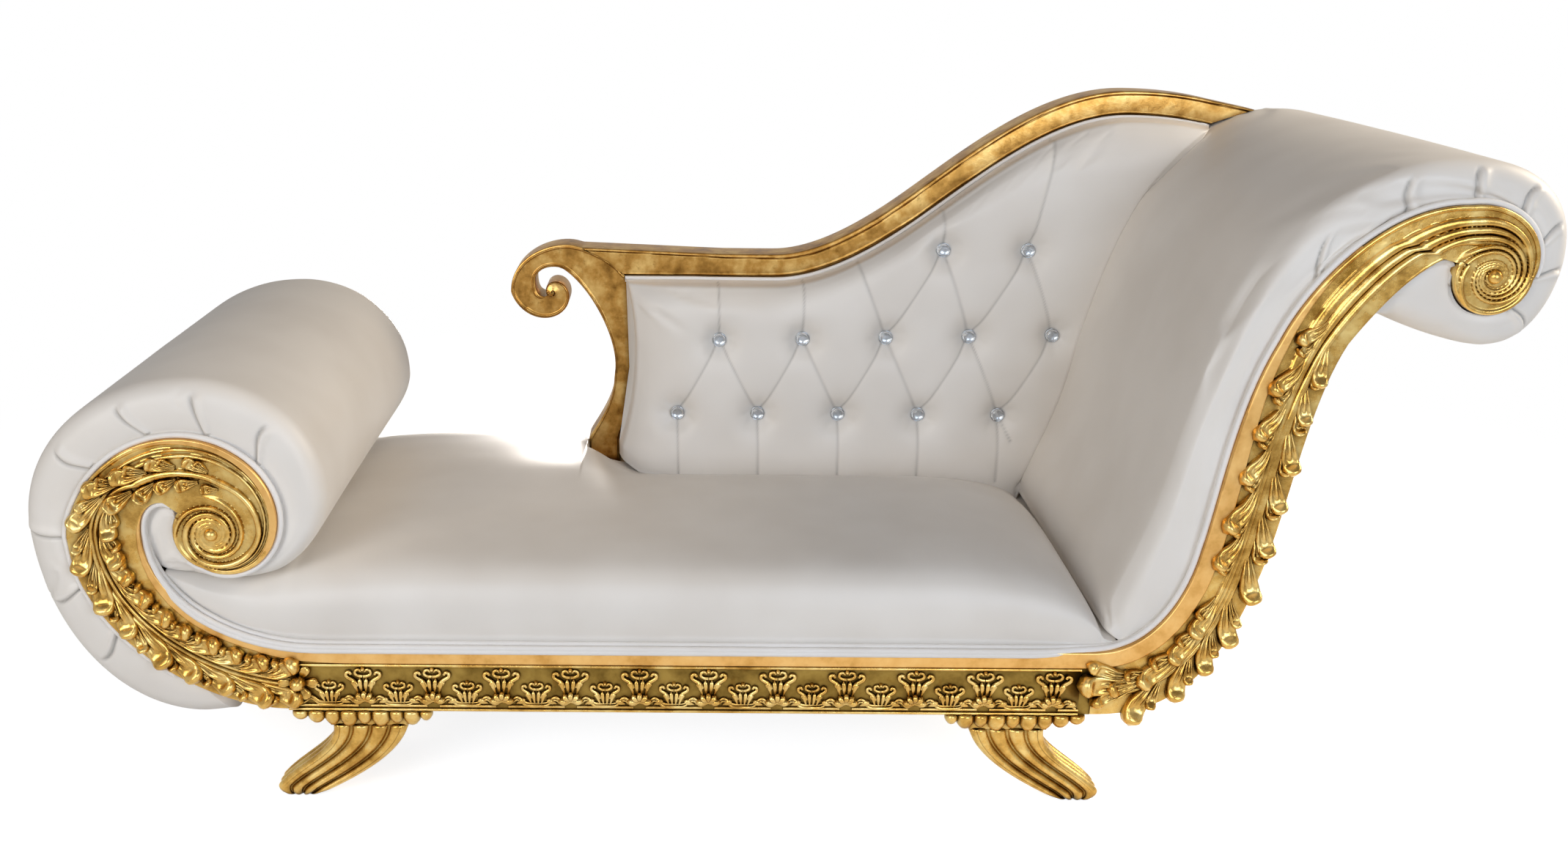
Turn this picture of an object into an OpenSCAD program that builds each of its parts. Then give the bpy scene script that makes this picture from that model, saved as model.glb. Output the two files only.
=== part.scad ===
// Scroll-ended chaise longue: a gilded carved frame with a padded foot roll, seat, head rest and
// a tufted back on one side. X runs from the low foot end to the high head end, Y from the carved
// front to the back, Z up. The origin is on the floor under the middle of the object's box.

/* [Frame boards] */
// Depth from the front carving to the rear face
frame_depth = 738; // [640:1:840]
// Thickness of the rails and scroll boards
board_t = 58; // [44:1:70]
// How far the carving stands out of the front boards
carve_t = 12; // [8:0.5:16]
// Height of the rails' lower edge above the floor
rail_z = 150; // [130:1:180]
// Height of the seat rails
rail_h = 100; // [90:1:120]
// Place of the joint between the rails and the foot scrolls
foot_join_x = -640; // [-670:1:-620]
// Place of the joint between the rails and the head scrolls
head_join_x = 470; // [450:1:490]

/* [Foot scroll] */
// Centre of the foot volute along the chaise
foot_eye_x = -774; // [-800:1:-760]
// Centre of the foot volute above the rails' lower edge
foot_eye_h = 272; // [262:1:290]
// Radius of the foot volute's central disc
foot_disc_r = 54; // [50:1:56]
// Reach of the foot scroll from its centre towards the foot end
foot_spiral_r = 203; // [196:1:210]
// Width of the foot scroll's band beside its centre
foot_band_w = 103; // [96:1:108]

/* [Head scroll] */
// Centre of the head volute along the chaise
head_eye_x = 940; // [925:1:970]
// Centre of the head volute above the rails' lower edge
head_eye_h = 648; // [630:1:680]
// Radius of the head volute's central disc
head_disc_r = 52; // [48:1:54]
// Height of the head volute's band above its centre
head_spiral_r = 89; // [86:1:94]

/* [Upholstery] */
// Height of the seat's crown above the rails' top
seat_crown = 122; // [100:1:130]
// Thickness of the foot roll's padding at the foot end
foot_pad_t = 41; // [36:1:46]
// Thickness of the foot roll's padding on top
foot_pad_top = 76; // [66:1:86]
// Thickness of the head roll's padding on top
head_pad_top = 60; // [52:1:68]
// Thickness of the head roll's padding at the head end
head_pad_t = 27; // [22:1:34]
// Thickness of the back pad at its crown
back_pad_t = 96; // [84:1:104]
// Depth of the tufts in the back pad
tuft_depth = 22; // [14:1:28]
// Diameter of a crystal button
button_d = 25; // [20:1:28]
// Width of the welt piping
piping_w = 6; // [4:0.5:8]

/* [Back frame] */
// Width of the back rail
back_rail_w = 40; // [32:1:46]
// Right edge of the arm post at the seat
arm_x = -236; // [-246:1:-226]
// Height of the back rail's straight stretch above the floor
back_low_z = 650; // [630:1:670]
// Height of the back rail's lower edge at its crest
back_crest_z = 937; // [925:1:945]

/* [Legs] */
// Centre of the foot-end legs
foot_leg_x = -574; // [-590:1:-560]
// Centre of the head-end legs
head_leg_x = 356; // [340:1:370]
// Width of a leg under its collar
leg_w = 114; // [100:1:124]
// How far a foot reaches out past the top of its leg
leg_kick = 85; // [60:1:100]
// Height of a leg's collar
collar_h = 28; // [20:1:34]
// Diameter of a leg bolt
bolt_d = 8; // [6:1:10]

/* [Carving] */
// Number of tall palmettes along the frieze
palmette_n = 11; // [7:1:13]
// Height of a tall palmette
palmette_h = 42; // [30:1:46]
// Length of an acanthus leaf
leaf_l = 74; // [56:1:84]

/* [Hidden] */
$fn = 48;

// Clearances: soft pieces to wood, hidden joints, and overlap for clean cuts
soft_gap = 0.5;
wrap_gap = 1.6;
join_gap = 0.1;
cut = 1;

// Heights
rail_top = rail_z + rail_h;
foot_eye_z = rail_z + foot_eye_h;
head_eye_z = rail_z + head_eye_h;

// Planes across the chaise
front_face = -frame_depth / 2 + carve_t;
front_inner = front_face + board_t;
collar_lip = 4;
rear_face = frame_depth / 2 - collar_lip;
rear_inner = rear_face - board_t;
inner_span = rear_inner - front_inner;
pad_front = front_face + 12;
pad_rear = rear_face - 12;
pad_roll = 15;

// Inner members
cross_w = 40;
deck_t = 10;
panel_t = 12;
rod_d = 70;
dowel_d = 14;
dowel_l = 70;
cover_t = 3;

// Colours
gold = "goldenrod";
cloth = "whitesmoke";
pine = "burlywood";
foam = "khaki";

// Points on a cubic curve through two ends and two handles
function curve(a, b, c, d, n) =
  [for (i = [0 : n]) let (t = i / n, u = 1 - t)
    u * u * u * a + 3 * u * u * t * b + 3 * u * t * t * c + t * t * t * d];

// One point on the same curve
function on_curve(a, b, c, d, t) =
  let (u = 1 - t) u * u * u * a + 3 * u * u * t * b + 3 * u * t * t * c + t * t * t * d;

// Paths in a row, with the shared end points kept once
function chain(paths) =
  [for (i = [0 : len(paths) - 1], j = [(i == 0 ? 0 : 1) : len(paths[i]) - 1]) paths[i][j]];

function flipped(path) = [for (i = [len(path) - 1 : -1 : 0]) path[i]];

function unit(v) = v / max(norm(v), 0.001);

// A path moved sideways, to the left of its own direction for a positive distance
function beside(path, d) =
  [for (i = [0 : len(path) - 1])
    let (a = path[max(i - 1, 0)], b = path[min(i + 1, len(path) - 1)], t = unit(b - a))
      path[i] + d * [-t[1], t[0]]];

// Even steps along a path, measured by length
function run_length(path, n) =
  n <= 0 ? 0 : norm(path[n] - path[n - 1]) + run_length(path, n - 1);
function lengths(path) = [for (i = [0 : len(path) - 1]) run_length(path, i)];
function point_at(path, sums, s, i = 1) =
  i >= len(path) - 1 || sums[i] >= s
    ? path[i - 1] + (path[i] - path[i - 1]) * (s - sums[i - 1]) / max(sums[i] - sums[i - 1], 0.001)
    : point_at(path, sums, s, i + 1);
function resampled(path, n) =
  let (sums = lengths(path), total = sums[len(path) - 1])
    [for (k = [0 : n]) point_at(path, sums, total * k / n)];

// Spiral about a centre: the radius shrinks by a fixed ratio per degree, down to the disc
function spiral(eye, r, rate, disc, from, to, n) =
  [for (i = [0 : n]) let (a = from + (to - from) * i / n)
    eye + max(disc, r * exp(-rate * abs(a - from))) * [cos(a), sin(a)]];

// Foot scroll

foot_eye = [foot_eye_x, foot_eye_z];
foot_rate = 0.0046;
foot_left = [foot_eye_x - foot_spiral_r, foot_eye_z - 7];
foot_heel = [foot_join_x - 40, rail_z];
foot_belly = curve(foot_heel, foot_heel - [130, 0], foot_left - [0, 150], foot_left, 12);
foot_turn = spiral(foot_eye, foot_spiral_r, foot_rate, foot_disc_r, 180, -132, 39);
foot_disc = spiral(foot_eye, foot_disc_r, 0, foot_disc_r, 228, 152, 8);
foot_hollow_left = [foot_eye_x - foot_spiral_r + foot_band_w, foot_eye_z];
foot_cusp = foot_eye + foot_disc_r * [cos(149), sin(149)];
foot_hollow_top = curve(foot_cusp + [-6, 14], foot_cusp + [-24, 26],
  foot_hollow_left + [0, 42], foot_hollow_left, 6);
foot_cradle = curve(foot_hollow_left, foot_hollow_left - [0, 102],
  [foot_join_x - 120, rail_top], [foot_join_x, rail_top], 14);
foot_outline = concat([[foot_join_x, rail_z]], chain([foot_belly, foot_turn]), foot_disc,
  chain([foot_hollow_top, foot_cradle]));

// Head scroll

head_eye = [head_eye_x, head_eye_z];
head_rate = 0.00566;
head_small_r = head_spiral_r * exp(-head_rate * 90);
head_knee = [head_join_x + 220, rail_z + 221];
head_neck = head_eye - [176, 93];
head_throat = head_eye + [-60, 26];
head_toe = [head_join_x + 10, rail_z];
head_back_low = curve(head_toe, head_toe + [120, 0], head_knee - [35, 136], head_knee, 10);
head_back_mid = curve(head_knee, head_knee + [25, 89], head_neck - [42, 85], head_neck, 10);
head_back_top = curve(head_neck, head_neck + [21, 33], head_throat - [42, 12], head_throat, 7);
head_disc = spiral(head_eye, head_disc_r, 0, head_disc_r, 164, 352, 16);
head_turn = [for (a = [0 : 9.6 : 115.2])
  head_eye + max(head_disc_r, head_small_r * exp(head_rate * a)) * [cos(a), sin(a)]];
head_crest = head_turn[len(head_turn) - 1];
head_lap = [head_join_x + 135, rail_top + 160];
head_chest = [head_eye_x - 267, head_eye_z - 90];
head_front_low = curve([head_join_x, rail_top], [head_join_x + 75, rail_top],
  head_lap - [13, 85], head_lap, 10);
head_front_mid = curve(head_lap, head_lap + [15, 65], head_chest - [45, 93], head_chest, 8);
head_front_top = curve(head_chest, head_chest + [27, 72], head_crest - [111, -2], head_crest, 9);
head_front = chain([head_front_low, head_front_mid, head_front_top]);
head_outline = concat([[head_join_x, rail_z]],
  chain([head_back_low, head_back_mid, head_back_top]), head_disc, head_turn,
  flipped(chain([head_front, [head_crest]])));

// Foot roll: the padding's outer and inner lines, point for point

foot_tip_t = 0.18;
foot_roll_left = foot_left + [-foot_pad_t, 15];
foot_roll_top = [foot_eye_x - 26, foot_eye_z + foot_spiral_r * exp(-foot_rate * 90) + foot_pad_top + 4];
foot_roll_right = [foot_eye_x + 140, foot_eye_z + 38];
foot_roll_nose = [foot_eye_x + 84, foot_eye_z - 65];
foot_tip = on_curve(foot_hollow_left, foot_hollow_left - [0, 102],
  [foot_join_x - 120, rail_top], [foot_join_x, rail_top], foot_tip_t) + [2, 0];
foot_roll_start = [foot_join_x - 150, rail_z + 1.5];
foot_under = curve(foot_roll_nose, foot_roll_nose - [40, 15], foot_tip + [55, -26], foot_tip, 6);
foot_roll_outer = chain([
  curve(foot_roll_start, foot_roll_start - [140, -13], foot_roll_left - [0, 130], foot_roll_left, 8),
  curve(foot_roll_left, foot_roll_left + [0, 100], foot_roll_top - [120, 0], foot_roll_top, 8),
  curve(foot_roll_top, foot_roll_top + [100, 0], foot_roll_right + [0, 100], foot_roll_right, 8),
  curve(foot_roll_right, foot_roll_right - [0, 40], foot_roll_nose + [35, 18], foot_roll_nose, 5),
  foot_under,
  [foot_tip, foot_hollow_left + [1.5, -10], foot_hollow_left + [3, 18], foot_cusp + [-34, 14],
    foot_cusp + [-10, 10]]
]);
foot_roll_inner = beside(chain([
  [for (i = [4 : 12]) foot_belly[i]],
  spiral(foot_eye, foot_spiral_r, foot_rate, foot_disc_r, 180, 90, 8),
  spiral(foot_eye, foot_spiral_r * exp(-foot_rate * 90), foot_rate, foot_disc_r, 90, 0, 8),
  spiral(foot_eye, foot_spiral_r * exp(-foot_rate * 180), foot_rate, foot_disc_r, 0, -55, 5),
  spiral(foot_eye, foot_spiral_r * exp(-foot_rate * 235), foot_rate, foot_disc_r, -55, -132, 6),
  spiral(foot_eye, foot_disc_r, 0, foot_disc_r, -132, -200, 4)
]), wrap_gap);

// Head rest and head roll, in the same way

rest_foot = [head_join_x + 17, rail_top + 24];
rest_lap = [head_join_x + 93, rail_top + 250];
rest_chest = [head_eye_x - 294, head_eye_z - 18];
roll_top = [head_eye_x - 50, head_eye_z + head_spiral_r + head_pad_top];
roll_end = [head_eye_x + head_small_r + head_pad_t, head_eye_z + 32];
roll_low = [head_eye_x, head_eye_z - head_disc_r - 38];
roll_tail = head_neck + [42, 39];
rest_low = curve(rest_foot, rest_foot + [23, 71], rest_lap - [15, 80], rest_lap, 6);
rest_mid = curve(rest_lap, rest_lap + [17, 90], rest_chest - [38, 80], rest_chest, 6);
rest_high = curve(rest_chest, rest_chest + [39, 85], roll_top - [120, 0], roll_top, 9);
rest_face = chain([rest_low, rest_mid, rest_high]);
rest_outer = chain([
  rest_face,
  curve(roll_top, roll_top + [72, 0], roll_end + [0, 65], roll_end, 7),
  curve(roll_end, roll_end - [0, 70], roll_low + [50, 0], roll_low, 6),
  curve(roll_low, roll_low - [45, 0], roll_tail + [42, -16], roll_tail, 8)
]);
rest_inner = beside(chain([
  [for (i = [2 : 10]) head_front_low[i]],
  resampled(head_front_mid, 5),
  resampled(head_front_top, 8),
  flipped([for (i = [0 : 7]) head_eye
    + max(head_disc_r, head_small_r * exp(head_rate * 115.2 * i / 7))
    * [cos(115.2 * i / 7), sin(115.2 * i / 7)]]),
  spiral(head_eye, head_disc_r, 0, head_disc_r, 0, -90, 6),
  spiral(head_eye, head_disc_r, 0, head_disc_r, -90, -190, 4),
  concat([head_eye + head_disc_r * [cos(-190), sin(-190)]],
    [for (i = [6 : -1.25 : 2.2]) on_curve(head_neck, head_neck + [21, 33],
      head_throat - [42, 12], head_throat, i / 7)])
]), wrap_gap);

// Seat: crown line and underside line, point for point

seat_top = rail_top + seat_crown;
seat_nose = foot_roll_nose + [14, -1];
seat_line_top = concat(
  [foot_under[6] * 0.6 + foot_under[5] * 0.4 - [0, 1.2]],
  [for (i = [5 : -1 : 0]) foot_under[i] - [0, 1.2]],
  curve(seat_nose, seat_nose + [40, 10], [foot_join_x + 120, seat_top],
    [arm_x - 104, seat_top], 6),
  [for (x = [arm_x - 88, arm_x - 68, arm_x - 6, arm_x + 40, -85, 20, 140]) [x, seat_top]],
  curve([head_join_x - 220, seat_top], [head_join_x - 90, seat_top],
    [head_join_x - 10, seat_top - 30], rest_foot - [2, 2.5], 8),
  [[head_join_x + 34, rail_top + 11.5]]
);
function cradle_z(x, i = 0) =
  x >= foot_join_x ? rail_top :
  i >= len(foot_cradle) - 1 ? rail_top :
  x <= foot_cradle[i + 1][0]
    ? foot_cradle[i][1] + (foot_cradle[i + 1][1] - foot_cradle[i][1])
      * (x - foot_cradle[i][0]) / max(foot_cradle[i + 1][0] - foot_cradle[i][0], 0.001)
    : cradle_z(x, i + 1);
function lap_z(x) = x <= head_join_x ? rail_top
  : rail_top + lookup(x - head_join_x, [for (p = head_front_low) [p[0] - head_join_x, p[1] - rail_top]]);
seat_line_low = [for (p = seat_line_top)
  [p[0], (p[0] < foot_join_x ? cradle_z(p[0]) + 1.5 : lap_z(p[0]) + soft_gap)]];

// Height of the seam between the seat and the back pad
seam_points = [[arm_x - 70, 400], [arm_x - 6, 350], [arm_x + 40, 328], [-85, 320], [394, 307],
  [455, 292], [490, 276]];
function seam_z(x) = lookup(x, seam_points) + rail_top - 250;

// Places across the seat with the share of the crown there, for the open end and beside the back
seat_open = [[pad_front + 2, 0.02], [pad_front - 5, 0.3], [pad_front - 3, 0.58], [pad_front + 14, 0.8],
  [pad_front + 55, 0.93], [pad_front + 150, 0.985], [-60, 1], [80, 1], [170, 0.98], [240, 0.95],
  [pad_rear - 55, 0.9], [pad_rear - 16, 0.76], [pad_rear - 4, 0.45], [pad_rear - 8, 0.02]];
seat_backed = [[pad_front + 2, 0.02], [pad_front - 5, 0.3], [pad_front - 3, 0.58], [pad_front + 14, 0.8],
  [pad_front + 55, 0.93], [pad_front + 150, 0.985], [-60, 1], [80, 0.98], [150, 0.9], [200, 0.7],
  [225, 0.6], [255, 0.55], [rear_inner - 6, 0.5], [rear_inner - 3, 0.02]];
function blend(x) = max(0, min(1, (arm_x - 68 - x) / 20));
function seat_stations(x) = let (w = blend(x))
  [for (i = [0 : len(seat_open) - 1]) w * seat_open[i] + (1 - w) * seat_backed[i]];

// Back pad: its four edges, then a net of points between them

back_left = [arm_x, seam_z(arm_x) + 1];
back_low = [head_join_x + 14, seam_z(head_join_x + 14) + 1];
back_corner = [arm_x + 12, back_low_z + 1];
back_end_t = 0.65;
back_end = on_curve(rest_chest, rest_chest + [39, 85], roll_top - [120, 0], roll_top, back_end_t);
back_crest = [head_eye_x - 304, back_crest_z];
back_slope = [308, (back_low_z + back_crest_z) / 2 - 22];
rail_under = chain([
  [back_corner, [-100, back_low_z + 1]],
  curve([-100, back_low_z + 1], [-60, back_low_z], [0, back_low_z], [40, back_low_z], 3),
  curve([40, back_low_z], [130, back_low_z], back_slope - [83, 63], back_slope, 8),
  curve(back_slope, back_slope + [100, 75], back_crest - [116, 0], back_crest, 8),
  curve(back_crest, back_crest + [54, 0], back_end + [-42, 10], back_end, 5)
]);
arm_side = curve(back_left, back_left + [31, 88], back_corner + [28, -91], back_corner, 8);
rest_side = concat([back_low],
  [for (p = rest_low) if (p[1] > back_low[1] + 8) p],
  [for (i = [1 : 6]) rest_mid[i]],
  [for (i = [1 : 6]) on_curve(rest_chest, rest_chest + [39, 85], roll_top - [120, 0],
    roll_top, back_end_t * i / 6)]);

net_cols = 30;
net_rows = 13;
edge_low = [for (i = [0 : net_cols]) let (x = back_left[0]
  + (back_low[0] - back_left[0]) * i / net_cols) [x, seam_z(x) + 1]];
edge_high = resampled(rail_under, net_cols);
edge_left = resampled(arm_side, net_rows);
rest_gap = 3;
edge_right = resampled(beside(rest_side, rest_gap), net_rows);

// Point of the net at column i and row j, between the four edges
function net_point(i, j) =
  let (u = i / net_cols, v = j / net_rows)
    (1 - v) * edge_low[i] + v * edge_high[i] + (1 - u) * edge_left[j] + u * edge_right[j]
    - (1 - u) * (1 - v) * edge_low[0] - u * (1 - v) * edge_low[net_cols]
    - (1 - u) * v * edge_high[0] - u * v * edge_high[net_cols];

// Buttons: three rows, the two upper ones shifted half a step
button_step = 145;
button_first_x = arm_x + 106;
button_low_z = seat_top + 47;
button_mid_z = back_low_z - 97;
button_high_z = (back_low_z + back_crest_z) / 2 - 79.5;
buttons = concat(
  [for (i = [0 : 4]) [button_first_x + (button_step - 3) * i, button_low_z]],
  [for (i = [0 : 4]) [button_first_x + button_step * (i + 0.5), button_mid_z + 3 * i]],
  [for (i = [0 : 1]) [back_slope[0] + 16 + button_step * i, button_high_z]]
);

// Share of the pad's thickness near an edge: 0 at the edge, 1 inside
function rise(s, w) = s >= w ? 1 : sqrt(max(0, 1 - pow(1 - s / w, 2)));
function pad_depth(i, j) =
  let (u = i / net_cols, v = j / net_rows, p = net_point(i, j))
    back_pad_t * (0.24 + 0.76 * rise(u, 0.14)) * (0.3 + 0.7 * rise(1 - v, 0.22))
    * (0.86 + 0.14 * rise(1 - u, 0.1)) * (0.88 + 0.12 * rise(v, 0.15))
    - tuft_depth * tuft(p);
function tuft(p) =
  max([for (b = buttons) let (d = norm(p - b) / 40) exp(-d * d)]) * 0.9;
pad_back_y = rear_inner + 7;
button_y = pad_back_y - back_pad_t + tuft_depth * 0.9;

// Shape builders

// Closed solid between two nets of points of the same size, faces as triangles
module slab(a, b) {
  m = len(a);
  n = len(a[0]);
  pts = concat([for (r = a, p = r) p], [for (r = b, p = r) p]);
  top = [for (i = [0 : m - 2], j = [0 : n - 2])
    let (k = i * n + j) each [[k, k + n, k + 1], [k + 1, k + n, k + n + 1]]];
  low = [for (f = top) [f[0] + m * n, f[2] + m * n, f[1] + m * n]];
  side_j = [for (i = [0 : m - 2]) let (k = i * n, q = k + m * n)
    each [[k, q, k + n], [k + n, q, q + n]]];
  side_k = [for (i = [0 : m - 2]) let (k = i * n + n - 1, q = k + m * n)
    each [[k, k + n, q], [k + n, q + n, q]]];
  end_a = [for (j = [0 : n - 2]) let (k = j, q = k + m * n)
    each [[k, k + 1, q], [k + 1, q + 1, q]]];
  end_b = [for (j = [0 : n - 2]) let (k = (m - 1) * n + j, q = k + m * n)
    each [[k, q, k + 1], [k + 1, q, q + 1]]];
  polyhedron(points = pts, faces = concat(top, low, side_j, side_k, end_a, end_b));
}

// Plate with an outline in X and Z, between two places in Y
module plate(outline, y0, y1) {
  translate([0, y1, 0]) rotate([90, 0, 0]) linear_extrude(y1 - y0) polygon(outline);
}

module bar(x0, x1, y0, y1, z0, z1) {
  translate([x0, y0, z0]) cube([x1 - x0, y1 - y0, z1 - z0]);
}

// Padding wrapped round a scroll board: rounded at its front and rear ends
module wrap(outer, inner) {
  ends = [[pad_front, pad_roll], [pad_front + 4, 5], [pad_front + 14, 0],
    [pad_rear - 14, 0], [pad_rear - 4, 5], [pad_rear, pad_roll]];
  a = [for (e = ends) [for (i = [0 : len(outer) - 1])
    let (t = outer[i] - inner[i], f = 1 - min(0.7, e[1] / max(norm(t), 1)), p = inner[i] + f * t)
      [p[0], e[0], p[1]]]];
  b = [for (e = ends) [for (p = inner) [p[0], e[0], p[1]]]];
  slab(a, b);
}

// Outline inside such padding: a share of its thickness, from point i0 to i1
function filling(outer, inner, i0, i1, gap, inside) =
  concat(
    [for (i = [i0 : i1]) let (t = outer[i] - inner[i]) inner[i] + t * max(0.2, 1 - gap / norm(t))],
    [for (i = [i1 : -1 : i0]) inner[i] - unit(outer[i] - inner[i]) * inside]
  );

// Welt piping: a strip along an edge, in front of the cover's own edge
module piping(path, side) {
  strip = concat(beside(path, side * 0.3), flipped(beside(path, side * (0.3 + piping_w))));
  plate(strip, pad_front - 6, pad_front - 0.3);
}

// Bores for the dowels between a rail and the scrolls beside it
rail_mid_front = (front_face + front_inner) / 2;
rail_mid_rear = (rear_face + rear_inner) / 2;
module dowel_set(x, y, d) {
  for (z = [rail_z + rail_h / 4, rail_z + rail_h * 3 / 4])
    translate([x - dowel_l / 2, y, z]) rotate([0, 90, 0]) cylinder(d = d, h = dowel_l);
}

// Bolts that hold the legs: two to a leg, up through the collar into the rail
bolt_low = rail_z - collar_h - 36;
bolt_high = rail_z + 70;
bolt_spread = 50;
module bolt_pair(x, y, d) {
  for (dx = [-bolt_spread / 2, bolt_spread / 2])
    translate([x + dx, y, bolt_low]) cylinder(d = d, h = bolt_high - bolt_low);
}
module all_bolts(y, d) {
  bolt_pair(foot_leg_x, y, d);
  bolt_pair(head_leg_x, y, d);
}

// Frame boards

module seat_rail(y0, y1, ymid) {
  color(gold) difference() {
    bar(foot_join_x, head_join_x, y0, y1, rail_z, rail_top);
    dowel_set(foot_join_x, ymid, dowel_d + 2 * join_gap);
    dowel_set(head_join_x, ymid, dowel_d + 2 * join_gap);
    all_bolts(ymid, bolt_d + 2 * join_gap);
  }
}
module front_rail() { seat_rail(front_face, front_inner, rail_mid_front); }
module rear_rail() {
  difference() {
    seat_rail(rear_inner, rear_face, rail_mid_rear);
    arm_dowel_pair(dowel_d + 2 * join_gap);
  }
}

module scroll_board(outline, join_x, y0, y1, ymid) {
  color(gold) difference() {
    plate(outline, y0, y1);
    dowel_set(join_x, ymid, dowel_d + 2 * join_gap);
  }
}
module front_foot_scroll() {
  scroll_board(foot_outline, foot_join_x, front_face, front_inner, rail_mid_front);
}
module rear_foot_scroll() {
  scroll_board(foot_outline, foot_join_x, rear_inner, rear_face, rail_mid_rear);
}
module front_head_scroll() {
  scroll_board(head_outline, head_join_x, front_face, front_inner, rail_mid_front);
}
module rear_head_scroll() {
  scroll_board(head_outline, head_join_x, rear_inner, rear_face, rail_mid_rear);
}

// Inner members

deck_low = rail_top - deck_t;
foot_cross_x = foot_join_x + 40;
head_cross_x = head_join_x - 70;
mid_cross_x = [-240, 80];
module cross_rail(x) {
  color(pine) difference() {
    bar(x, x + cross_w, front_inner, rear_inner, rail_z, deck_low);
    screw_pair(x, 4);
  }
}
module foot_cross_rail() { cross_rail(foot_cross_x); }
module head_cross_rail() { cross_rail(head_cross_x); }
module foot_middle_rail() { cross_rail(mid_cross_x[0]); }
module head_middle_rail() { cross_rail(mid_cross_x[1]); }
module screw_pair(x, d) {
  for (y = [front_inner + 80, rear_inner - 80])
    translate([x + cross_w / 2, y, deck_low - 30]) cylinder(d = d, h = 30 + deck_t);
}
module deck_screws() {
  color("silver") for (x = concat([foot_cross_x, head_cross_x], mid_cross_x)) screw_pair(x, 3.8);
}
module seat_deck() {
  color(pine) difference() {
    bar(foot_join_x, head_join_x, front_inner, rear_inner, deck_low, rail_top);
    for (x = concat([foot_cross_x, head_cross_x], mid_cross_x)) screw_pair(x, 4);
  }
}

// Glue blocks in the corners between the rails and the end cross rails
block_leg = 60;
module corner_blocks() {
  color(pine) for (y = [0, 1], x = [0, 1])
    translate([x == 0 ? foot_cross_x + cross_w : head_cross_x, y == 0 ? front_inner : rear_inner, rail_z])
      mirror([x, 0, 0]) mirror([0, y, 0])
        linear_extrude(deck_low - rail_z) polygon([[0, 0], [block_leg, 0], [0, block_leg]]);
}

module rail_dowels() {
  color(pine) for (x = [foot_join_x, head_join_x], y = [rail_mid_front, rail_mid_rear])
    dowel_set(x, y, dowel_d);
}

// Curved panels between the scroll boards
module between(outline) { plate(outline, front_inner, rear_inner); }

module foot_cradle_panel() {
  strip = concat(foot_cradle, flipped(beside(foot_cradle, -deck_t)));
  color(pine) between(strip);
}
foot_shell = chain([[for (i = [4 : 12]) foot_belly[i]], [for (i = [0 : 22]) foot_turn[i]]]);
module foot_end_panel() {
  color(pine) between(concat(foot_shell, flipped(beside(foot_shell, -panel_t))));
}
module foot_roll_rod() {
  color(pine) translate([foot_eye_x, rear_inner, foot_eye_z]) rotate([90, 0, 0])
    cylinder(d = rod_d, h = inner_span);
}
module head_roll_rod() {
  color(pine) translate([head_eye_x, rear_inner, head_eye_z]) rotate([90, 0, 0])
    cylinder(d = rod_d, h = inner_span);
}
module head_panel() {
  path = [for (i = [2 : len(head_front) - 1]) head_front[i]];
  color(pine) between(concat(path, flipped(beside(path, -panel_t))));
}

// Cloth over the outside of the head scroll, from the rails to the roll
module head_outside_cover() {
  path = chain([head_back_low, head_back_mid, [for (i = [0 : 3]) head_back_top[i]]]);
  color(cloth) between(concat(path, flipped(beside(path, cover_t))));
}

// Seat

module seat_cover() {
  a = [for (i = [0 : len(seat_line_top) - 1])
    let (p = seat_line_top[i], q = seat_line_low[i])
      [for (s = seat_stations(p[0])) let (z = q[1] + max(2, (p[1] - q[1]) * s[1]))
        [p[0], bulged(s[0], p[1] - q[1]), s[0] > 160 && p[0] > arm_x - 60 ? min(z, seam_z(p[0]) - 1) : z]]];
  b = [for (i = [0 : len(seat_line_top) - 1])
    let (p = seat_line_low[i], s = seat_stations(p[0]), n = len(s) - 1)
      [for (j = [0 : n]) [p[0], s[0][0] + (s[n][0] - s[0][0]) * j / n, p[1]]]];
  color(cloth) difference() {
    slab(b, a);
    plate(seat_cavity(0), seat_fill[0], seat_fill[1]);
  }
}
// The front edge bulges less where the seat is thin
function bulged(y, t) = y < pad_front ? pad_front - (pad_front - y) * min(1, max(0, t - 30) / 70) : y;
seat_fill = [pad_front + 24, 140];
function seat_cavity(gap) = let (x0 = foot_join_x + 40 + gap, x1 = head_join_x - 60 - gap,
    z0 = rail_top + soft_gap + cover_t + gap, z1 = rail_top + seat_crown * 0.76 - gap)
  [[x0, z0], [x1, z0], [x1, rail_top + seat_crown * 0.5 - gap], [x1 - 90, z1], [x0, z1]];
module seat_foam() {
  color(foam) plate(seat_cavity(0.3), seat_fill[0] + 0.3, seat_fill[1] - 0.3);
}

// How far the rolls' foam stands off the covers' inner line
foam_rise = -0.4;

// Foot roll

foot_fill = [3, 27];
module foot_roll_cover() {
  color(cloth) difference() {
    wrap(foot_roll_outer, foot_roll_inner);
    plate(filling(foot_roll_outer, foot_roll_inner, foot_fill[0], foot_fill[1], cover_t, cut),
      pad_front + 20, pad_rear - 20);
  }
}
module foot_roll_foam() {
  color(foam) plate(filling(foot_roll_outer, foot_roll_inner, foot_fill[0], foot_fill[1],
    cover_t + 0.3, foam_rise), pad_front + 20.3, pad_rear - 20.3);
}

// Head rest

rest_fill = [2, 28];
module head_rest_cover() {
  color(cloth) difference() {
    wrap(rest_outer, rest_inner);
    plate(filling(rest_outer, rest_inner, rest_fill[0], rest_fill[1], cover_t, cut),
      pad_front + 20, pad_rear - 20);
  }
}
module head_rest_foam() {
  color(foam) plate(filling(rest_outer, rest_inner, rest_fill[0], rest_fill[1],
    cover_t + 0.3, foam_rise), pad_front + 20.3, pad_rear - 20.3);
}

// Back frame

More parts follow.
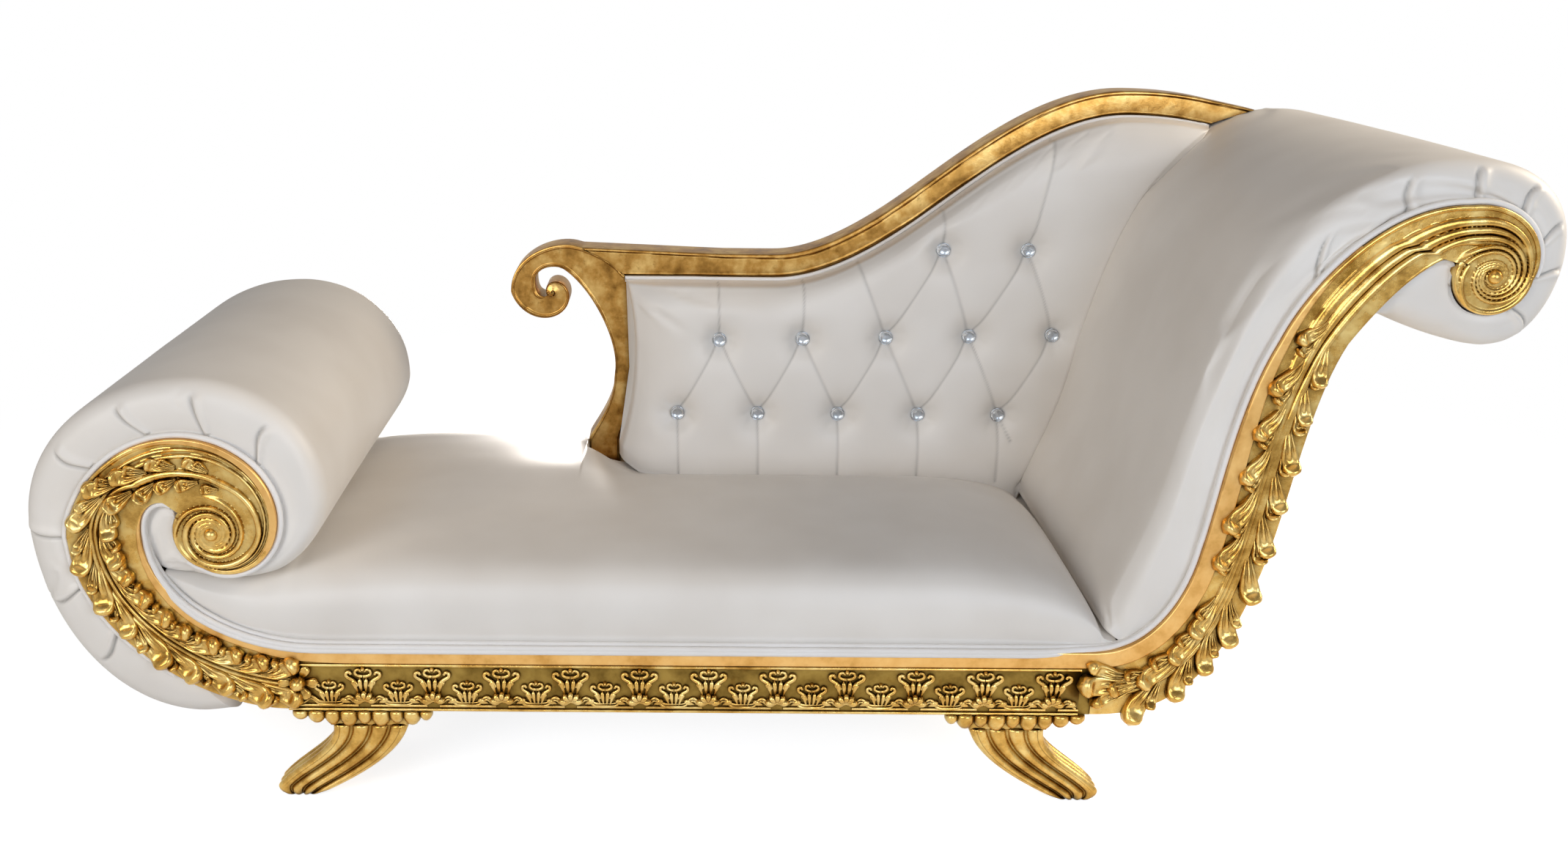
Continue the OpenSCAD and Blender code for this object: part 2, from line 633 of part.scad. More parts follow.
arm_eye = [arm_x - 118, back_low_z - 30];
arm_rate = 0.0053;
arm_left_r = 74;
arm_shoulder = [arm_x - 64, back_low_z + 50];
arm_left = arm_eye - [arm_left_r, 0];
arm_hollow = arm_eye + [-30, 20];
arm_post_z = rail_top;
arm_outline = concat(
  [[arm_x - 60, arm_post_z], [arm_x, arm_post_z]],
  arm_side,
  curve(back_corner + [-3, 3], back_corner + [-18, 22], arm_shoulder + [34, -10], arm_shoulder, 5),
  curve(arm_shoulder + [-6, 1.5], arm_shoulder + [-45, 15], arm_left + [0, 68], arm_left, 8),
  [for (a = [193 : 12 : 541]) arm_eye
    + arm_left_r * exp(-arm_rate * (a - 181)) * [cos(a), sin(a)]],
  curve(arm_eye + [-14, -9], arm_eye + [-24, -8], arm_hollow - [0, 22], arm_hollow, 4),
  curve(arm_hollow, arm_hollow + [0, 17], arm_hollow + [20, 28], arm_hollow + [42, 24], 5),
  curve(arm_hollow + [50, 21], arm_hollow + [98, -10], [arm_x + 2, back_low_z - 120],
    [arm_x - 8, back_low_z - 180], 8),
  curve([arm_x - 9, back_low_z - 190], [arm_x - 9, back_low_z - 240], [arm_x - 50, back_low_z - 290],
    [arm_x - 56, seam_z(arm_x) - 2], 6)
);
module arm_dowel_pair(d) {
  for (dx = [-45, -16])
    translate([arm_x + dx, rail_mid_rear, arm_post_z - dowel_l / 2]) cylinder(d = d, h = dowel_l);
}
module arm_dowels() { color(pine) arm_dowel_pair(dowel_d); }
module arm_scroll() {
  color(gold) difference() {
    plate(arm_outline, rear_inner, rear_face);
    arm_dowel_pair(dowel_d + 2 * join_gap);
  }
}

// The back rail runs from the arm scroll over the crest to the head rest
rail_bottom = beside(rail_under, 0.6);
rail_over = beside(rail_under, back_rail_w);
rail_end = beside([for (k = [0 : 5]) on_curve(rest_chest, rest_chest + [39, 85], roll_top - [120, 0],
  roll_top, back_end_t + 0.05 * k)], 1.2);
rail_outline = concat(
  [for (i = [0 : len(rail_bottom) - 2]) rail_bottom[i]],
  rail_end,
  flipped([for (i = [2 : len(rail_over) - 1]) rail_over[i]]),
  flipped([for (p = curve(back_corner + [-3, 3], back_corner + [-18, 22], arm_shoulder + [34, -10],
    arm_shoulder, 5)) p + [0.4, 0.4]])
);
module back_rail() { color(gold) plate(rail_outline, rear_inner, rear_face); }

// Hidden stile beside the head rest, standing on the rear rail under the back rail
panel_thick = 8;
frame_back_y = pad_back_y + panel_thick + 0.5;
stile_w = 26;
stile_path = concat([[rest_foot[0] - 5, rail_top + 1.5]], rest_side);
module back_stile() {
  color(pine) difference() {
    plate(concat(beside(stile_path, 1), flipped(beside(stile_path, stile_w))), frame_back_y, rear_face - 4);
    plate(concat(beside(rail_under, 0.4), [back_end + [60, 0], back_end + [60, 80]],
      flipped(beside(rail_under, back_rail_w + 40))), rear_inner - cut, rear_face + cut);
  }
}
module back_bottom_rail() {
  color(pine) bar(arm_x + 0.3, rest_foot[0] - 5 - stile_w - 4, frame_back_y, rear_face - 4, rail_top,
    rail_top + 45);
}

// Opening of the back frame, drawn in by a small gap
function opening(gap) = concat(
  [[arm_x + gap, rail_top + gap]],
  beside(edge_left, -gap),
  beside([for (i = [1 : net_cols - 1]) edge_high[i]], -gap),
  flipped(beside([for (j = [0 : net_rows - 1]) edge_right[j]], gap)),
  [[rest_foot[0] - 7 - gap, rail_top + gap + 1]]
);
module back_panel() { color(pine) plate(opening(1), pad_back_y + 0.2, pad_back_y + panel_thick); }
module outside_back_cover() { color(cloth) plate(opening(1.2), rear_face - 3.5, rear_face - 1); }

// Back pad

module back_cover() {
  a = [for (i = [0 : net_cols]) [for (j = [0 : net_rows]) let (p = pad_point(i, j))
    [p[0], pad_back_y - max(8, pad_depth(i, j)), p[1]]]];
  b = [for (i = [0 : net_cols]) [for (j = [0 : net_rows]) let (p = pad_point(i, j))
    [p[0], pad_back_y, p[1]]]];
  color(cloth) difference() {
    slab(b, a);
    plate(back_fill(0), pad_back_y - 22, pad_back_y + cut);
    for (b = buttons) plate(pocket(b), 0, button_y + 0.2);
  }
}
function pocket(b) = [for (i = [0 : 15]) b + (button_d / 2 + 0.6) * [cos(22.5 * i), sin(22.5 * i)]];
// The net drawn in a little, so that the pad clears its frame and the rest, and more under the rail
pad_top = beside(edge_high, -piping_w - 1.6);
function pad_point(i, j) =
  i == net_cols && j == net_rows ? edge_right[j] + unit(edge_right[j - 1] - edge_right[j]) * 10 :
  let (c = net_point(net_cols / 2, 6), p = j == net_rows ? pad_top[i] : net_point(i, j))
    p + unit(c - p) * (i == 0 && j == net_rows ? 5 : 0.9);
function back_fill(gap) =
  let (c = net_point(net_cols / 2, 6))
    [for (p = concat(
      [for (i = [3 : net_cols - 3]) pad_point(i, 1)],
      [for (j = [2 : net_rows - 2]) pad_point(net_cols - 3, j)],
      [for (i = [net_cols - 4 : -1 : 3]) pad_point(i, net_rows - 2)],
      [for (j = [net_rows - 3 : -1 : 2]) pad_point(3, j)]
    )) p + unit(c - p) * gap];
module back_foam() { color(foam) plate(back_fill(1.2), pad_back_y - 21.7, pad_back_y - 0.1); }

// Crystal buttons in metal cups, each seated in its tuft
cup_t = 3;
module at_buttons() {
  for (b = buttons) translate([b[0], button_y, b[1]]) rotate([90, 0, 0]) children();
}
module button_cups() {
  color("silver") at_buttons() cylinder(d = button_d, h = cup_t);
}
module crystal_buttons() {
  color("lightcyan") at_buttons() translate([0, 0, cup_t + 0.05])
    cylinder(d1 = button_d - 2, d2 = button_d * 0.55, h = 7);
}

// Legs: a sabre leg kicks out towards its own end of the chaise
leg_top = rail_z - collar_h;
leg_d = board_t;
leg_outer = curve([leg_w / 2, leg_top], [leg_w / 2, leg_top - 34],
  [leg_w / 2 + leg_kick - 24, 62], [leg_w / 2 + leg_kick, 16], 10);
leg_inner = curve([leg_w / 2 + leg_kick - 58, 0], [leg_w / 2 + leg_kick - 110, 26],
  [-leg_w / 2 + 12, leg_top - 52], [-leg_w / 2, leg_top], 10);
module leg(x, dir, y) {
  toe = [[leg_w / 2 + leg_kick - 1, 7], [leg_w / 2 + leg_kick - 9, 0]];
  color(gold) difference() {
    translate([x, y + leg_d / 2, 0]) mirror([dir < 0 ? 1 : 0, 0, 0]) rotate([90, 0, 0])
      linear_extrude(leg_d) polygon(concat(leg_outer, toe, leg_inner));
    bolt_pair(x, y, bolt_d + 2 * join_gap);
  }
}
module front_foot_leg() { leg(foot_leg_x, -1, rail_mid_front); }
module front_head_leg() { leg(head_leg_x, 1, rail_mid_front); }
module rear_foot_leg() { leg(foot_leg_x, -1, rail_mid_rear); }
module rear_head_leg() { leg(head_leg_x, 1, rail_mid_rear); }

// Collar over a leg: a plate with a row of rounded lobes under it
lobe_n = 9;
collar_in = 93;
collar_out = 108;
module collar(x, dir, y) {
  pitch = (collar_in + collar_out) / lobe_n;
  cap = collar_h * 0.45;
  lobe_r = pitch * 0.56;
  color(gold) difference() {
    union() {
      for (i = [0 : lobe_n - 1])
        translate([x + dir * (-collar_in + pitch * (i + 0.5)), y + leg_d / 2 + collar_lip, rail_z - cap])
          rotate([90, 0, 0]) intersection() {
            cylinder(r = lobe_r, h = leg_d + 2 * collar_lip);
            translate([-lobe_r, cap - collar_h, 0]) cube([2 * lobe_r, collar_h - cap + 1, leg_d + 2 * collar_lip]);
          }
      bar(min(x - dir * collar_in, x + dir * collar_out), max(x - dir * collar_in, x + dir * collar_out),
        y - leg_d / 2 - collar_lip, y + leg_d / 2 + collar_lip, rail_z - cap, rail_z);
      bar(x - leg_w / 2, x + leg_w / 2, y - leg_d / 2, y + leg_d / 2, rail_z - collar_h, rail_z - cap);
    }
    bolt_pair(x, y, bolt_d + 2 * join_gap);
  }
}
module front_foot_collar() { collar(foot_leg_x, -1, rail_mid_front); }
module front_head_collar() { collar(head_leg_x, 1, rail_mid_front); }
module rear_foot_collar() { collar(foot_leg_x, -1, rail_mid_rear); }
module rear_head_collar() { collar(head_leg_x, 1, rail_mid_rear); }

module leg_bolts() {
  color("silver") for (y = [rail_mid_front, rail_mid_rear]) all_bolts(y, bolt_d);
}

// Welt piping

module seat_piping() {
  path = concat([for (i = [2 : len(foot_cradle) - 1]) foot_cradle[i]],
    [for (i = [0 : 2]) head_front_low[i]]);
  color(cloth) piping(path, 1);
}
module foot_roll_piping() {
  color(cloth) piping(chain([[for (i = [6 : 12]) foot_belly[i]], [for (i = [0 : 26]) foot_turn[i]]]), 1);
}
module head_rest_piping() {
  color(cloth) piping(concat([for (i = [4 : len(head_front) - 1]) head_front[i]],
    [for (i = [len(head_turn) - 2 : -1 : 1]) head_turn[i]]), 1);
}
module back_piping() {
  path = beside(concat([rail_under[0] + [6, 0]], [for (i = [1 : len(rail_under) - 2]) rail_under[i]]), -0.3);
  color(cloth) plate(concat(path, flipped(beside(path, -piping_w))), rear_inner - 6, rear_inner + 2);
}

// Carving on the front boards

frieze_low = rail_z + 8;
frieze_high = rail_z + rail_h * 0.72;
module bead(z, r) {
  color(gold) translate([foot_join_x + 6, front_face, z]) rotate([0, 90, 0]) intersection() {
    cylinder(r = r, h = head_join_x - foot_join_x - 12);
    translate([-r, -r, 0]) cube([2 * r, r, head_join_x - foot_join_x - 12]);
  }
}
module frieze_top_bead() { bead(frieze_high + 3, 3.5); }
module frieze_bottom_beads() {
  bead(frieze_low - 2, 3.5);
  bead(frieze_low + 7, 2.5);
}

// A palmette as a fan of lobes on a small stem
function palmette(h, lobes) = concat([[-h * 0.14, 0], [h * 0.14, 0]],
  [for (i = [0 : lobes * 6]) let (a = -8 + 196 * i / (lobes * 6), r = h * (0.62 - 0.14 * abs(cos(a))
    + 0.07 * cos(360 * i / 6 + 180))) [r * 0.86 * cos(a), h * 0.4 + r * sin(a)]]);
palmette_pitch = (head_join_x - foot_join_x - 60) / palmette_n;
module frieze_palmettes() {
  color(gold) for (i = [0 : palmette_n - 1]) {
    x = foot_join_x + 45 + palmette_pitch * i;
    translate([x + palmette_pitch / 2, front_face, frieze_low + 16]) rotate([90, 0, 0])
      linear_extrude(carve_t * 0.6) polygon(palmette(palmette_h, 5));
    translate([x, front_face, frieze_low + 16]) rotate([90, 0, 0])
      linear_extrude(carve_t * 0.5) polygon(palmette(palmette_h * 0.6, 5));
  }
}

// Garland: a waving ribbon under the palmettes
module frieze_garland() {
  x0 = foot_join_x + 12;
  n = palmette_n * 8;
  wave = [for (i = [0 : n]) [x0 + (head_join_x - foot_join_x - 24) * i / n,
    frieze_low + 14 + 1.4 * sin(360 * i / 8)]];
  color(gold) plate(concat(wave, flipped([for (p = wave) p - [0, 2.6]])),
    front_face - carve_t * 0.35, front_face);
}

// Acanthus leaf: a pointed leaf with notched sides, along +X
function leaf(l, w) = [for (i = [0 : 20]) let (t = i / 20, h = w * pow(sin(180 * pow(t, 0.8)), 0.8)
    * (1 - 0.16 * abs(sin(720 * t)))) [l * t, h]];
module leaf_plate(l, w) {
  side = leaf(l, w);
  linear_extrude(carve_t) polygon(concat(side,
    [for (i = [19 : -1 : 1]) [side[i][0], -side[i][1]]]));
}
// Leaves along a path, in pairs on a stem that closes the gaps between them
stem_w = 30;
module leaves(path, n, l, w) {
  line = resampled(path, n);
  plate(concat(beside(line, stem_w / 2), flipped(beside(line, -stem_w / 2))), front_face - carve_t * 0.6,
    front_face);
  for (i = [0 : n - 1]) {
    d = line[i + 1] - line[i];
    a = atan2(d[1], d[0]);
    translate([line[i][0], front_face, line[i][1]]) rotate([90, 0, 0])
      for (s = [-1, 1]) rotate([0, 0, a + s * 24]) leaf_plate(l, w);
  }
}
foot_mid = [for (i = [0 : 12]) let (a = foot_belly[i], b = foot_cradle[14 - i]) (a * 0.47 + b * 0.53)];
module foot_scroll_leaves() {
  path = concat([for (i = [1 : 12]) foot_mid[i]], [for (a = [170 : -16 : 90]) foot_eye
    + (foot_spiral_r * exp(-foot_rate * (180 - a)) - 44) * [cos(a), sin(a)]]);
  color(gold) leaves(path, 11, leaf_l, 21);
}
head_spine_low = [for (i = [0 : 10]) head_back_low[i] * 0.5 + head_front_low[i] * 0.5];
head_spine_mid = [for (i = [1 : 7]) head_back_mid[i] * 0.5 + resampled(head_front_mid, 10)[i] * 0.5];
module head_scroll_leaves() {
  color(gold) leaves(concat([for (i = [1 : 10]) head_spine_low[i]], head_spine_mid), 10, leaf_l, 20);
}

// Raised spiral bead on a volute, ending in its eye
module volute_bead(eye, r, rate, from, to, w) {
  n = 44;
  line = [for (i = [0 : n]) let (a = from + (to - from) * i / n)
    eye + r * exp(-rate * abs(a - from)) * [cos(a), sin(a)]];
  color(gold) union() {
    plate(concat(line, flipped(beside(line, w * sign(from - to)))), front_face - carve_t * 0.6, front_face);
    translate([eye[0], front_face, eye[1]]) rotate([90, 0, 0]) cylinder(r = 11, h = carve_t * 0.9);
  }
}
module foot_volute_bead() {
  volute_bead(foot_eye, foot_disc_r + 26, foot_rate, 60, -480, -8);
}
module head_volute_bead() {
  volute_bead(head_eye, head_spiral_r - 8, head_rate, 100, 470, 7);
}

// Dust cover under the seat
module dust_cover() {
  inset = collar_lip + 1;
  color("dimgray") bar(foot_cross_x, head_cross_x + cross_w, front_inner + inset, rear_inner - inset,
    rail_z - 1.8, rail_z - 0.2);
}

front_rail();
rear_rail();
front_foot_scroll();
rear_foot_scroll();
front_head_scroll();
rear_head_scroll();
foot_cross_rail();
head_cross_rail();
foot_middle_rail();
head_middle_rail();
corner_blocks();
rail_dowels();
seat_deck();
deck_screws();
foot_cradle_panel();
foot_end_panel();
foot_roll_rod();
head_panel();
head_roll_rod();
head_outside_cover();
seat_foam();
seat_cover();
foot_roll_foam();
foot_roll_cover();
head_rest_foam();
head_rest_cover();
arm_scroll();
arm_dowels();
back_rail();
back_stile();
back_bottom_rail();
back_panel();
back_foam();
back_cover();
outside_back_cover();
button_cups();
crystal_buttons();
front_foot_leg();
front_head_leg();
rear_foot_leg();
rear_head_leg();
front_foot_collar();
front_head_collar();
rear_foot_collar();
rear_head_collar();
leg_bolts();
seat_piping();
foot_roll_piping();
head_rest_piping();
back_piping();
frieze_top_bead();
frieze_bottom_beads();
frieze_palmettes();
frieze_garland();
foot_scroll_leaves();
head_scroll_leaves();
foot_volute_bead();
head_volute_bead();
dust_cover();
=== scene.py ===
import math

import bmesh
import bpy
import numpy as np
from mathutils import Matrix, Vector


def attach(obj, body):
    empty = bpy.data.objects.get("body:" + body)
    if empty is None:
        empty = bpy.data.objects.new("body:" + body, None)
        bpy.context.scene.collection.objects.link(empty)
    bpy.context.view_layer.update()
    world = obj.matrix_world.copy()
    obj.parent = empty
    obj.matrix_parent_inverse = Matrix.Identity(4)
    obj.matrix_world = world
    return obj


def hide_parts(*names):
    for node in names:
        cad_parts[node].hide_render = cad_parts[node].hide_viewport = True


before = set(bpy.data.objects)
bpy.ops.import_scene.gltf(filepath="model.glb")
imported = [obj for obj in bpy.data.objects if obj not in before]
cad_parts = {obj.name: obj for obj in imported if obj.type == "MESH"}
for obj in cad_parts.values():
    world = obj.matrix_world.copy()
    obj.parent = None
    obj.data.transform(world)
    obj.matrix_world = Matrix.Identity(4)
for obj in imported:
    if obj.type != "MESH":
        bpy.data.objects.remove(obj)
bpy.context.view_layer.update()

# The chaise stands with its foot end at low X and its carved front at low Y. Sizes are in
# millimetres, as in the part's source, and become metres where a mesh is made.
MM = 0.001

# Heights and planes shared with the frame
rail_low, rail_top = 150.0, 250.0
foot_join, head_join = -640.0, 470.0
front_face, front_inner = -357.0, -299.0
rear_inner, rear_face = 307.0, 365.0
pad_front, pad_rear = -345.0, 353.0

# Tools for outlines: a path is an array of points in X and Z


def at(*numbers):
    return np.array(numbers, float)


def on_curve(a, b, c, d, t):
    """The point at share t of the cubic curve between a and d, drawn by the handles b and c."""
    u = 1 - t
    return u**3 * at(*a) + 3 * u * u * t * at(*b) + 3 * u * t * t * at(*c) + t**3 * at(*d)


def curve(a, b, c, d, n):
    return on_curve(a, b, c, d, np.linspace(0, 1, n + 1)[:, None])


def bends(start, after, *runs):
    """Curves end to end: each run is (handle before its end, end, handle after it)."""
    found = []
    for before, end, *ahead in runs:
        found.append((at(*start), at(*start) + after, at(*end) + before, at(*end)))
        start, after = end, ahead[0] if ahead else None
    return found


def drawn(curves, *counts):
    return chain(*[curve(*points, n) for points, n in zip(curves, counts)])


def turned(degrees):
    a = np.radians(degrees)
    return np.stack([np.cos(a), np.sin(a)], -1)


def ring(eye, r, start, end, n):
    return eye + r * turned(np.linspace(start, end, n + 1))


def chain(*paths):
    return np.concatenate([paths[0]] + [path[1:] for path in paths[1:]])


def beside(path, distance):
    """The path moved to the left of its own direction."""
    ahead = np.concatenate([path[1:], path[-1:]]) - np.concatenate([path[:1], path[:-1]])
    ahead /= np.maximum(np.linalg.norm(ahead, axis=1), 0.001)[:, None]
    return path + distance * np.stack([-ahead[:, 1], ahead[:, 0]], 1)


def lengths(path):
    return np.concatenate([[0], np.cumsum(np.linalg.norm(np.diff(path, axis=0), axis=1))])


def points_at(steps, path, along=None):
    """Points of a path at the given distances along it."""
    along = lengths(path) if along is None else along
    return np.stack([np.interp(steps, along, path[:, k]) for k in range(path.shape[1])], 1)


def resampled(path, n):
    """n + 1 points at even steps along the path."""
    return points_at(np.linspace(0, lengths(path)[-1], n + 1), path)


def refined(net, times, loop=False):
    """More points along the first axis, on a smooth curve through the given ones."""
    if loop:
        padded = np.concatenate([net[-1:], net, net[:2]])
    else:
        padded = np.concatenate([2 * net[:1] - net[1:2], net, 2 * net[-1:] - net[-2:-1]])
    a, b, c, d = padded[:-3], padded[1:-2], padded[2:-1], padded[3:]
    rows = []
    for t in np.arange(times) / times:
        turn = 2 * a - 5 * b + 4 * c - d + t * (3 * (b - c) + d - a)
        rows.append(b + 0.5 * t * (c - a + t * turn))
    fine = np.stack(rows, 1).reshape((-1,) + net.shape[1:])
    return fine if loop else np.concatenate([fine, net[-1:]])


def refined_both(net, times):
    """A net of closed loops drawn finer along both its axes."""
    fine = refined(net, times).transpose(1, 0, 2)
    return refined(fine, times, loop=True).transpose(1, 0, 2)


def eased(x, low, high):
    """0 below low, 1 above high, and a smooth step between them."""
    t = np.clip((x - low) / (high - low), 0, 1)
    return t * t * (3 - 2 * t)


def ridge(x, centre, width):
    return np.exp(-(((x - centre) / width) ** 2))


def dome(x):
    """1 at x = 0, round down to 0 at x = 1 on both sides."""
    return np.sqrt(np.clip(1 - x * x, 0, 1))


# Outlines of the foot scroll
foot_eye = at(-774, 422)
foot_disc, foot_reach, foot_rate = 54.0, 203.0, 0.0046
foot_left, foot_heel, foot_hollow = at(-977, 415), at(-680, rail_low), at(-874, 422)
foot_cusp = foot_eye + foot_disc * turned(149)
foot_belly = curve(foot_heel, foot_heel - at(130, 0), foot_left - at(0, 150), foot_left, 12)
cradle_bend = (foot_hollow, foot_hollow - at(0, 102), (-760, rail_top), (foot_join, rail_top))
foot_cradle = curve(*cradle_bend, 14)
foot_throat = curve(foot_cusp + at(-6, 14), foot_cusp + at(-24, 26), foot_hollow + at(0, 42),
                    foot_hollow, 12)


def foot_edge(a):
    return foot_reach * np.exp(-foot_rate * (180 - a))


def foot_spiral(start, end, n):
    """The foot volute's edge between two angles, down to its disc."""
    a = np.linspace(start, end, n + 1)
    return foot_eye + np.maximum(foot_disc, foot_edge(a))[:, None] * turned(a)


# Outlines of the head scroll
head_eye = at(940, 798)
head_disc, head_small, head_rate = 52.0, 53.5, 0.00566
head_knee, head_neck, head_mouth = at(690, 371), at(764, 705), at(880, 824)
head_lap, head_chest = at(605, 410), at(673, 708)
crest_angle = 115.2


def head_spiral(a):
    return head_eye + np.maximum(head_disc, head_small * np.exp(head_rate * a))[:, None] * turned(a)


head_turn = head_spiral(np.arange(0, crest_angle + 0.1, 4.8))
head_crest = head_turn[-1]
head_back_bends = bends((480, 150), (120, 0), ((-35, -136), head_knee, (25, 89)),
                        ((-42, -85), head_neck, (21, 33)), ((-42, -12), head_mouth))
head_back = np.concatenate([[(head_join, rail_low)], drawn(head_back_bends, 20, 20, 14)])
head_front_bends = bends((head_join, rail_top), (75, 0), ((-13, -85), head_lap, (15, 65)),
                         ((-45, -93), head_chest, (27, 72)), ((-111, 2), head_crest))
head_front = drawn(head_front_bends, 20, 16, 24)

# Colours and finishes


def linear(code):
    """A colour written as sRGB hex, as the linear numbers that a socket takes."""
    parts = [int(code[k:k + 2], 16) / 255 for k in (0, 2, 4)]
    return [p / 12.92 if p <= 0.04045 else ((p + 0.055) / 1.055) ** 2.4 for p in parts] + [1]


def add(tree, kind, settings=None, values=None, links=None, stops=()):
    """Adds a node with its settings, its sockets' values, its links and a ramp's colour stops."""
    node = tree.nodes.new(kind)
    for name, value in (settings or {}).items():
        setattr(node, name, value)
    for name, value in (values or {}).items():
        node.inputs[name].default_value = value
    for name, source in (links or {}).items():
        socket = source.outputs[0] if hasattr(source, "outputs") else source
        tree.links.new(node.inputs[name], socket)
    for k, (spot, code) in enumerate(stops):
        band = node.color_ramp.elements
        element = band[k] if k < len(band) else band.new(spot)
        element.position, element.color = spot, linear(code)
    return node


def finish(name, build):
    """A material whose surface comes from build, which fills the tree and returns its last node."""
    material = bpy.data.materials.new(name)
    material.use_nodes = True
    tree = material.node_tree
    tree.nodes.clear()
    shader = build(tree, add(tree, "ShaderNodeTexCoord").outputs["Object"])
    add(tree, "ShaderNodeOutputMaterial", links={"Surface": shader})
    return material


def per_metre(size):
    """Scale of a texture whose pattern is about this many millimetres across."""
    return 1 / (size * MM)


def gilding(bright, middle, deep, wear, rough, recess_shade_strength):
    """Gold leaf laid in squares over bole, darkened in its recesses by toning wax and by painted
    shade, wherever ambient occlusion finds them.
    """
    def build(tree, place):
        cloudy, patchy, fine = [
            add(tree, "ShaderNodeTexNoise", links={"Vector": place}, values={
                "Scale": per_metre(size), "Detail": detail, "Roughness": mixed})
            for size, detail, mixed in ((38, 4, 0.62), (21, 5, 0.7), (3.5, 4, 0.6))]
        leaf, bole, wax_and_shade_colour = [
            add(tree, "ShaderNodeValToRGB", links={"Fac": cloudy}, stops=stops) for stops in (
                [(0.3, deep), (0.47, middle), (0.66, bright)],
                [(0.3, "6b430f"), (0.7, "8a5c1c")], [(0.3, "2c1a05"), (0.7, "4a2f0b")])]
        rubbed = add(tree, "ShaderNodeMapRange", {"interpolation_type": "SMOOTHSTEP"}, {
            "From Min": 0.56, "From Max": 0.72, "To Max": wear}, {"Value": patchy})
        # Painted shade with the wax: the more a spot is occluded, the more its leaf turns to the
        # wax colour
        hollow = add(tree, "ShaderNodeAmbientOcclusion", {"samples": 6}, {"Distance": 14 * MM})
        recess_wax_and_shade = add(tree, "ShaderNodeMapRange", None, {
            "From Min": 0.3, "From Max": 0.92, "To Min": recess_shade_strength, "To Max": 0.0},
            {"Value": hollow.outputs["AO"]})
        colour = leaf
        for share, under in ((rubbed, bole), (recess_wax_and_shade, wax_and_shade_colour)):
            colour = add(tree, "ShaderNodeMix", {"data_type": "RGBA"},
                         links={0: share, 6: colour, 7: under}).outputs[2]
        soft = add(tree, "ShaderNodeBump", None, {"Strength": 0.3, "Distance": 2 * MM},
                   {"Height": cloudy})
        grain = add(tree, "ShaderNodeBump", None, {"Strength": 0.25, "Distance": 0.5 * MM},
                    {"Height": fine, "Normal": soft})
        dull = add(tree, "ShaderNodeMapRange", None, {
            "To Min": rough - 0.1, "To Max": rough + 0.12}, {"Value": cloudy})
        return add(tree, "ShaderNodeBsdfPrincipled", None, {"Metallic": 1.0}, {
            "Base Color": colour, "Roughness": dull, "Normal": grain})
    return build


def hide(light, shade, crease_shade_colour, grain):
    """Coated leatherette: pale, with a pebbled grain, and greyed by painted shade down in the
    stitched folds.
    """
    def build(tree, place):
        cloudy = add(tree, "ShaderNodeTexNoise", None, {"Scale": per_metre(160), "Detail": 2},
                     {"Vector": place})
        colour = add(tree, "ShaderNodeValToRGB", links={"Fac": cloudy},
                     stops=[(0.35, shade), (0.65, light)])
        # Painted shade: the fold value greys the colour towards the crease colour
        fold = add(tree, "ShaderNodeAttribute", {"attribute_name": "fold"}).outputs["Fac"]
        folded = add(tree, "ShaderNodeMix", {"data_type": "RGBA"}, {7: linear(crease_shade_colour)},
                     {0: fold, 6: colour})
        pebbles = add(tree, "ShaderNodeTexVoronoi", {"feature": "SMOOTH_F1"},
                      {"Scale": per_metre(grain), "Smoothness": 0.4}, {"Vector": place})
        soft = add(tree, "ShaderNodeBump", None, {"Strength": 0.05, "Distance": 6 * MM},
                   {"Height": cloudy})
        pebbled = add(tree, "ShaderNodeBump", None, {"Strength": 0.12, "Distance": 0.3 * MM},
                      {"Height": pebbles, "Normal": soft})
        dull = add(tree, "ShaderNodeMapRange", None, {"To Min": 0.42, "To Max": 0.52},
                   {"Value": cloudy})
        return add(tree, "ShaderNodeBsdfPrincipled", None, {
            "Sheen Weight": 0.08, "Sheen Roughness": 0.4, "IOR": 1.5}, {
            "Base Color": folded.outputs[2], "Roughness": dull, "Normal": pebbled})
    return build


def speckled(light, dark, size, rough, metallic=0.0, depth=0.3, drawn_out=1.0):
    """A surface with one fine pattern of the given size, drawn out along X where it is timber."""
    def build(tree, place):
        along = add(tree, "ShaderNodeMapping", None, {"Scale": (1 / drawn_out, 1, 1)},
                    {"Vector": place})
        speckle = add(tree, "ShaderNodeTexNoise", None, {
            "Scale": per_metre(size), "Detail": 3, "Roughness": 0.6}, {"Vector": along})
        colour = add(tree, "ShaderNodeValToRGB", links={"Fac": speckle},
                     stops=[(0.35, dark), (0.65, light)])
        rise = add(tree, "ShaderNodeBump", None, {"Strength": 0.3, "Distance": depth * MM},
                   {"Height": speckle})
        dull = add(tree, "ShaderNodeMapRange", None, {
            "To Min": rough - 0.06, "To Max": rough + 0.08}, {"Value": speckle})
        return add(tree, "ShaderNodeBsdfPrincipled", None, {"Metallic": metallic}, {
            "Base Color": colour, "Roughness": dull, "Normal": rise})
    return build


def cut_glass(tree, place):
    """Cut crystal: clear, with the faintest cloud inside."""
    cloud = add(tree, "ShaderNodeTexNoise", None, {"Scale": per_metre(9)}, {"Vector": place})
    colour = add(tree, "ShaderNodeValToRGB", links={"Fac": cloud},
                 stops=[(0.3, "e8eef4"), (0.7, "ffffff")])
    return add(tree, "ShaderNodeBsdfPrincipled", None, {
        "Transmission Weight": 0.9, "IOR": 1.52, "Roughness": 0.02}, {"Base Color": colour})


# Gold leaf on carved, waxed wood: bright on its rims, brown in its grooves from wax and painted
# shade
gilt = finish("gold_leaf_gilding", gilding("f2d388", "dcb05e", "b0833a", 0.3, 0.26, 1.0))
# The back frame is rubbed more, so its gold is browner
gilt_aged = finish("rubbed_gold_frame", gilding("e4bd74", "c3924a", "8f652c", 0.5, 0.31, 0.95))
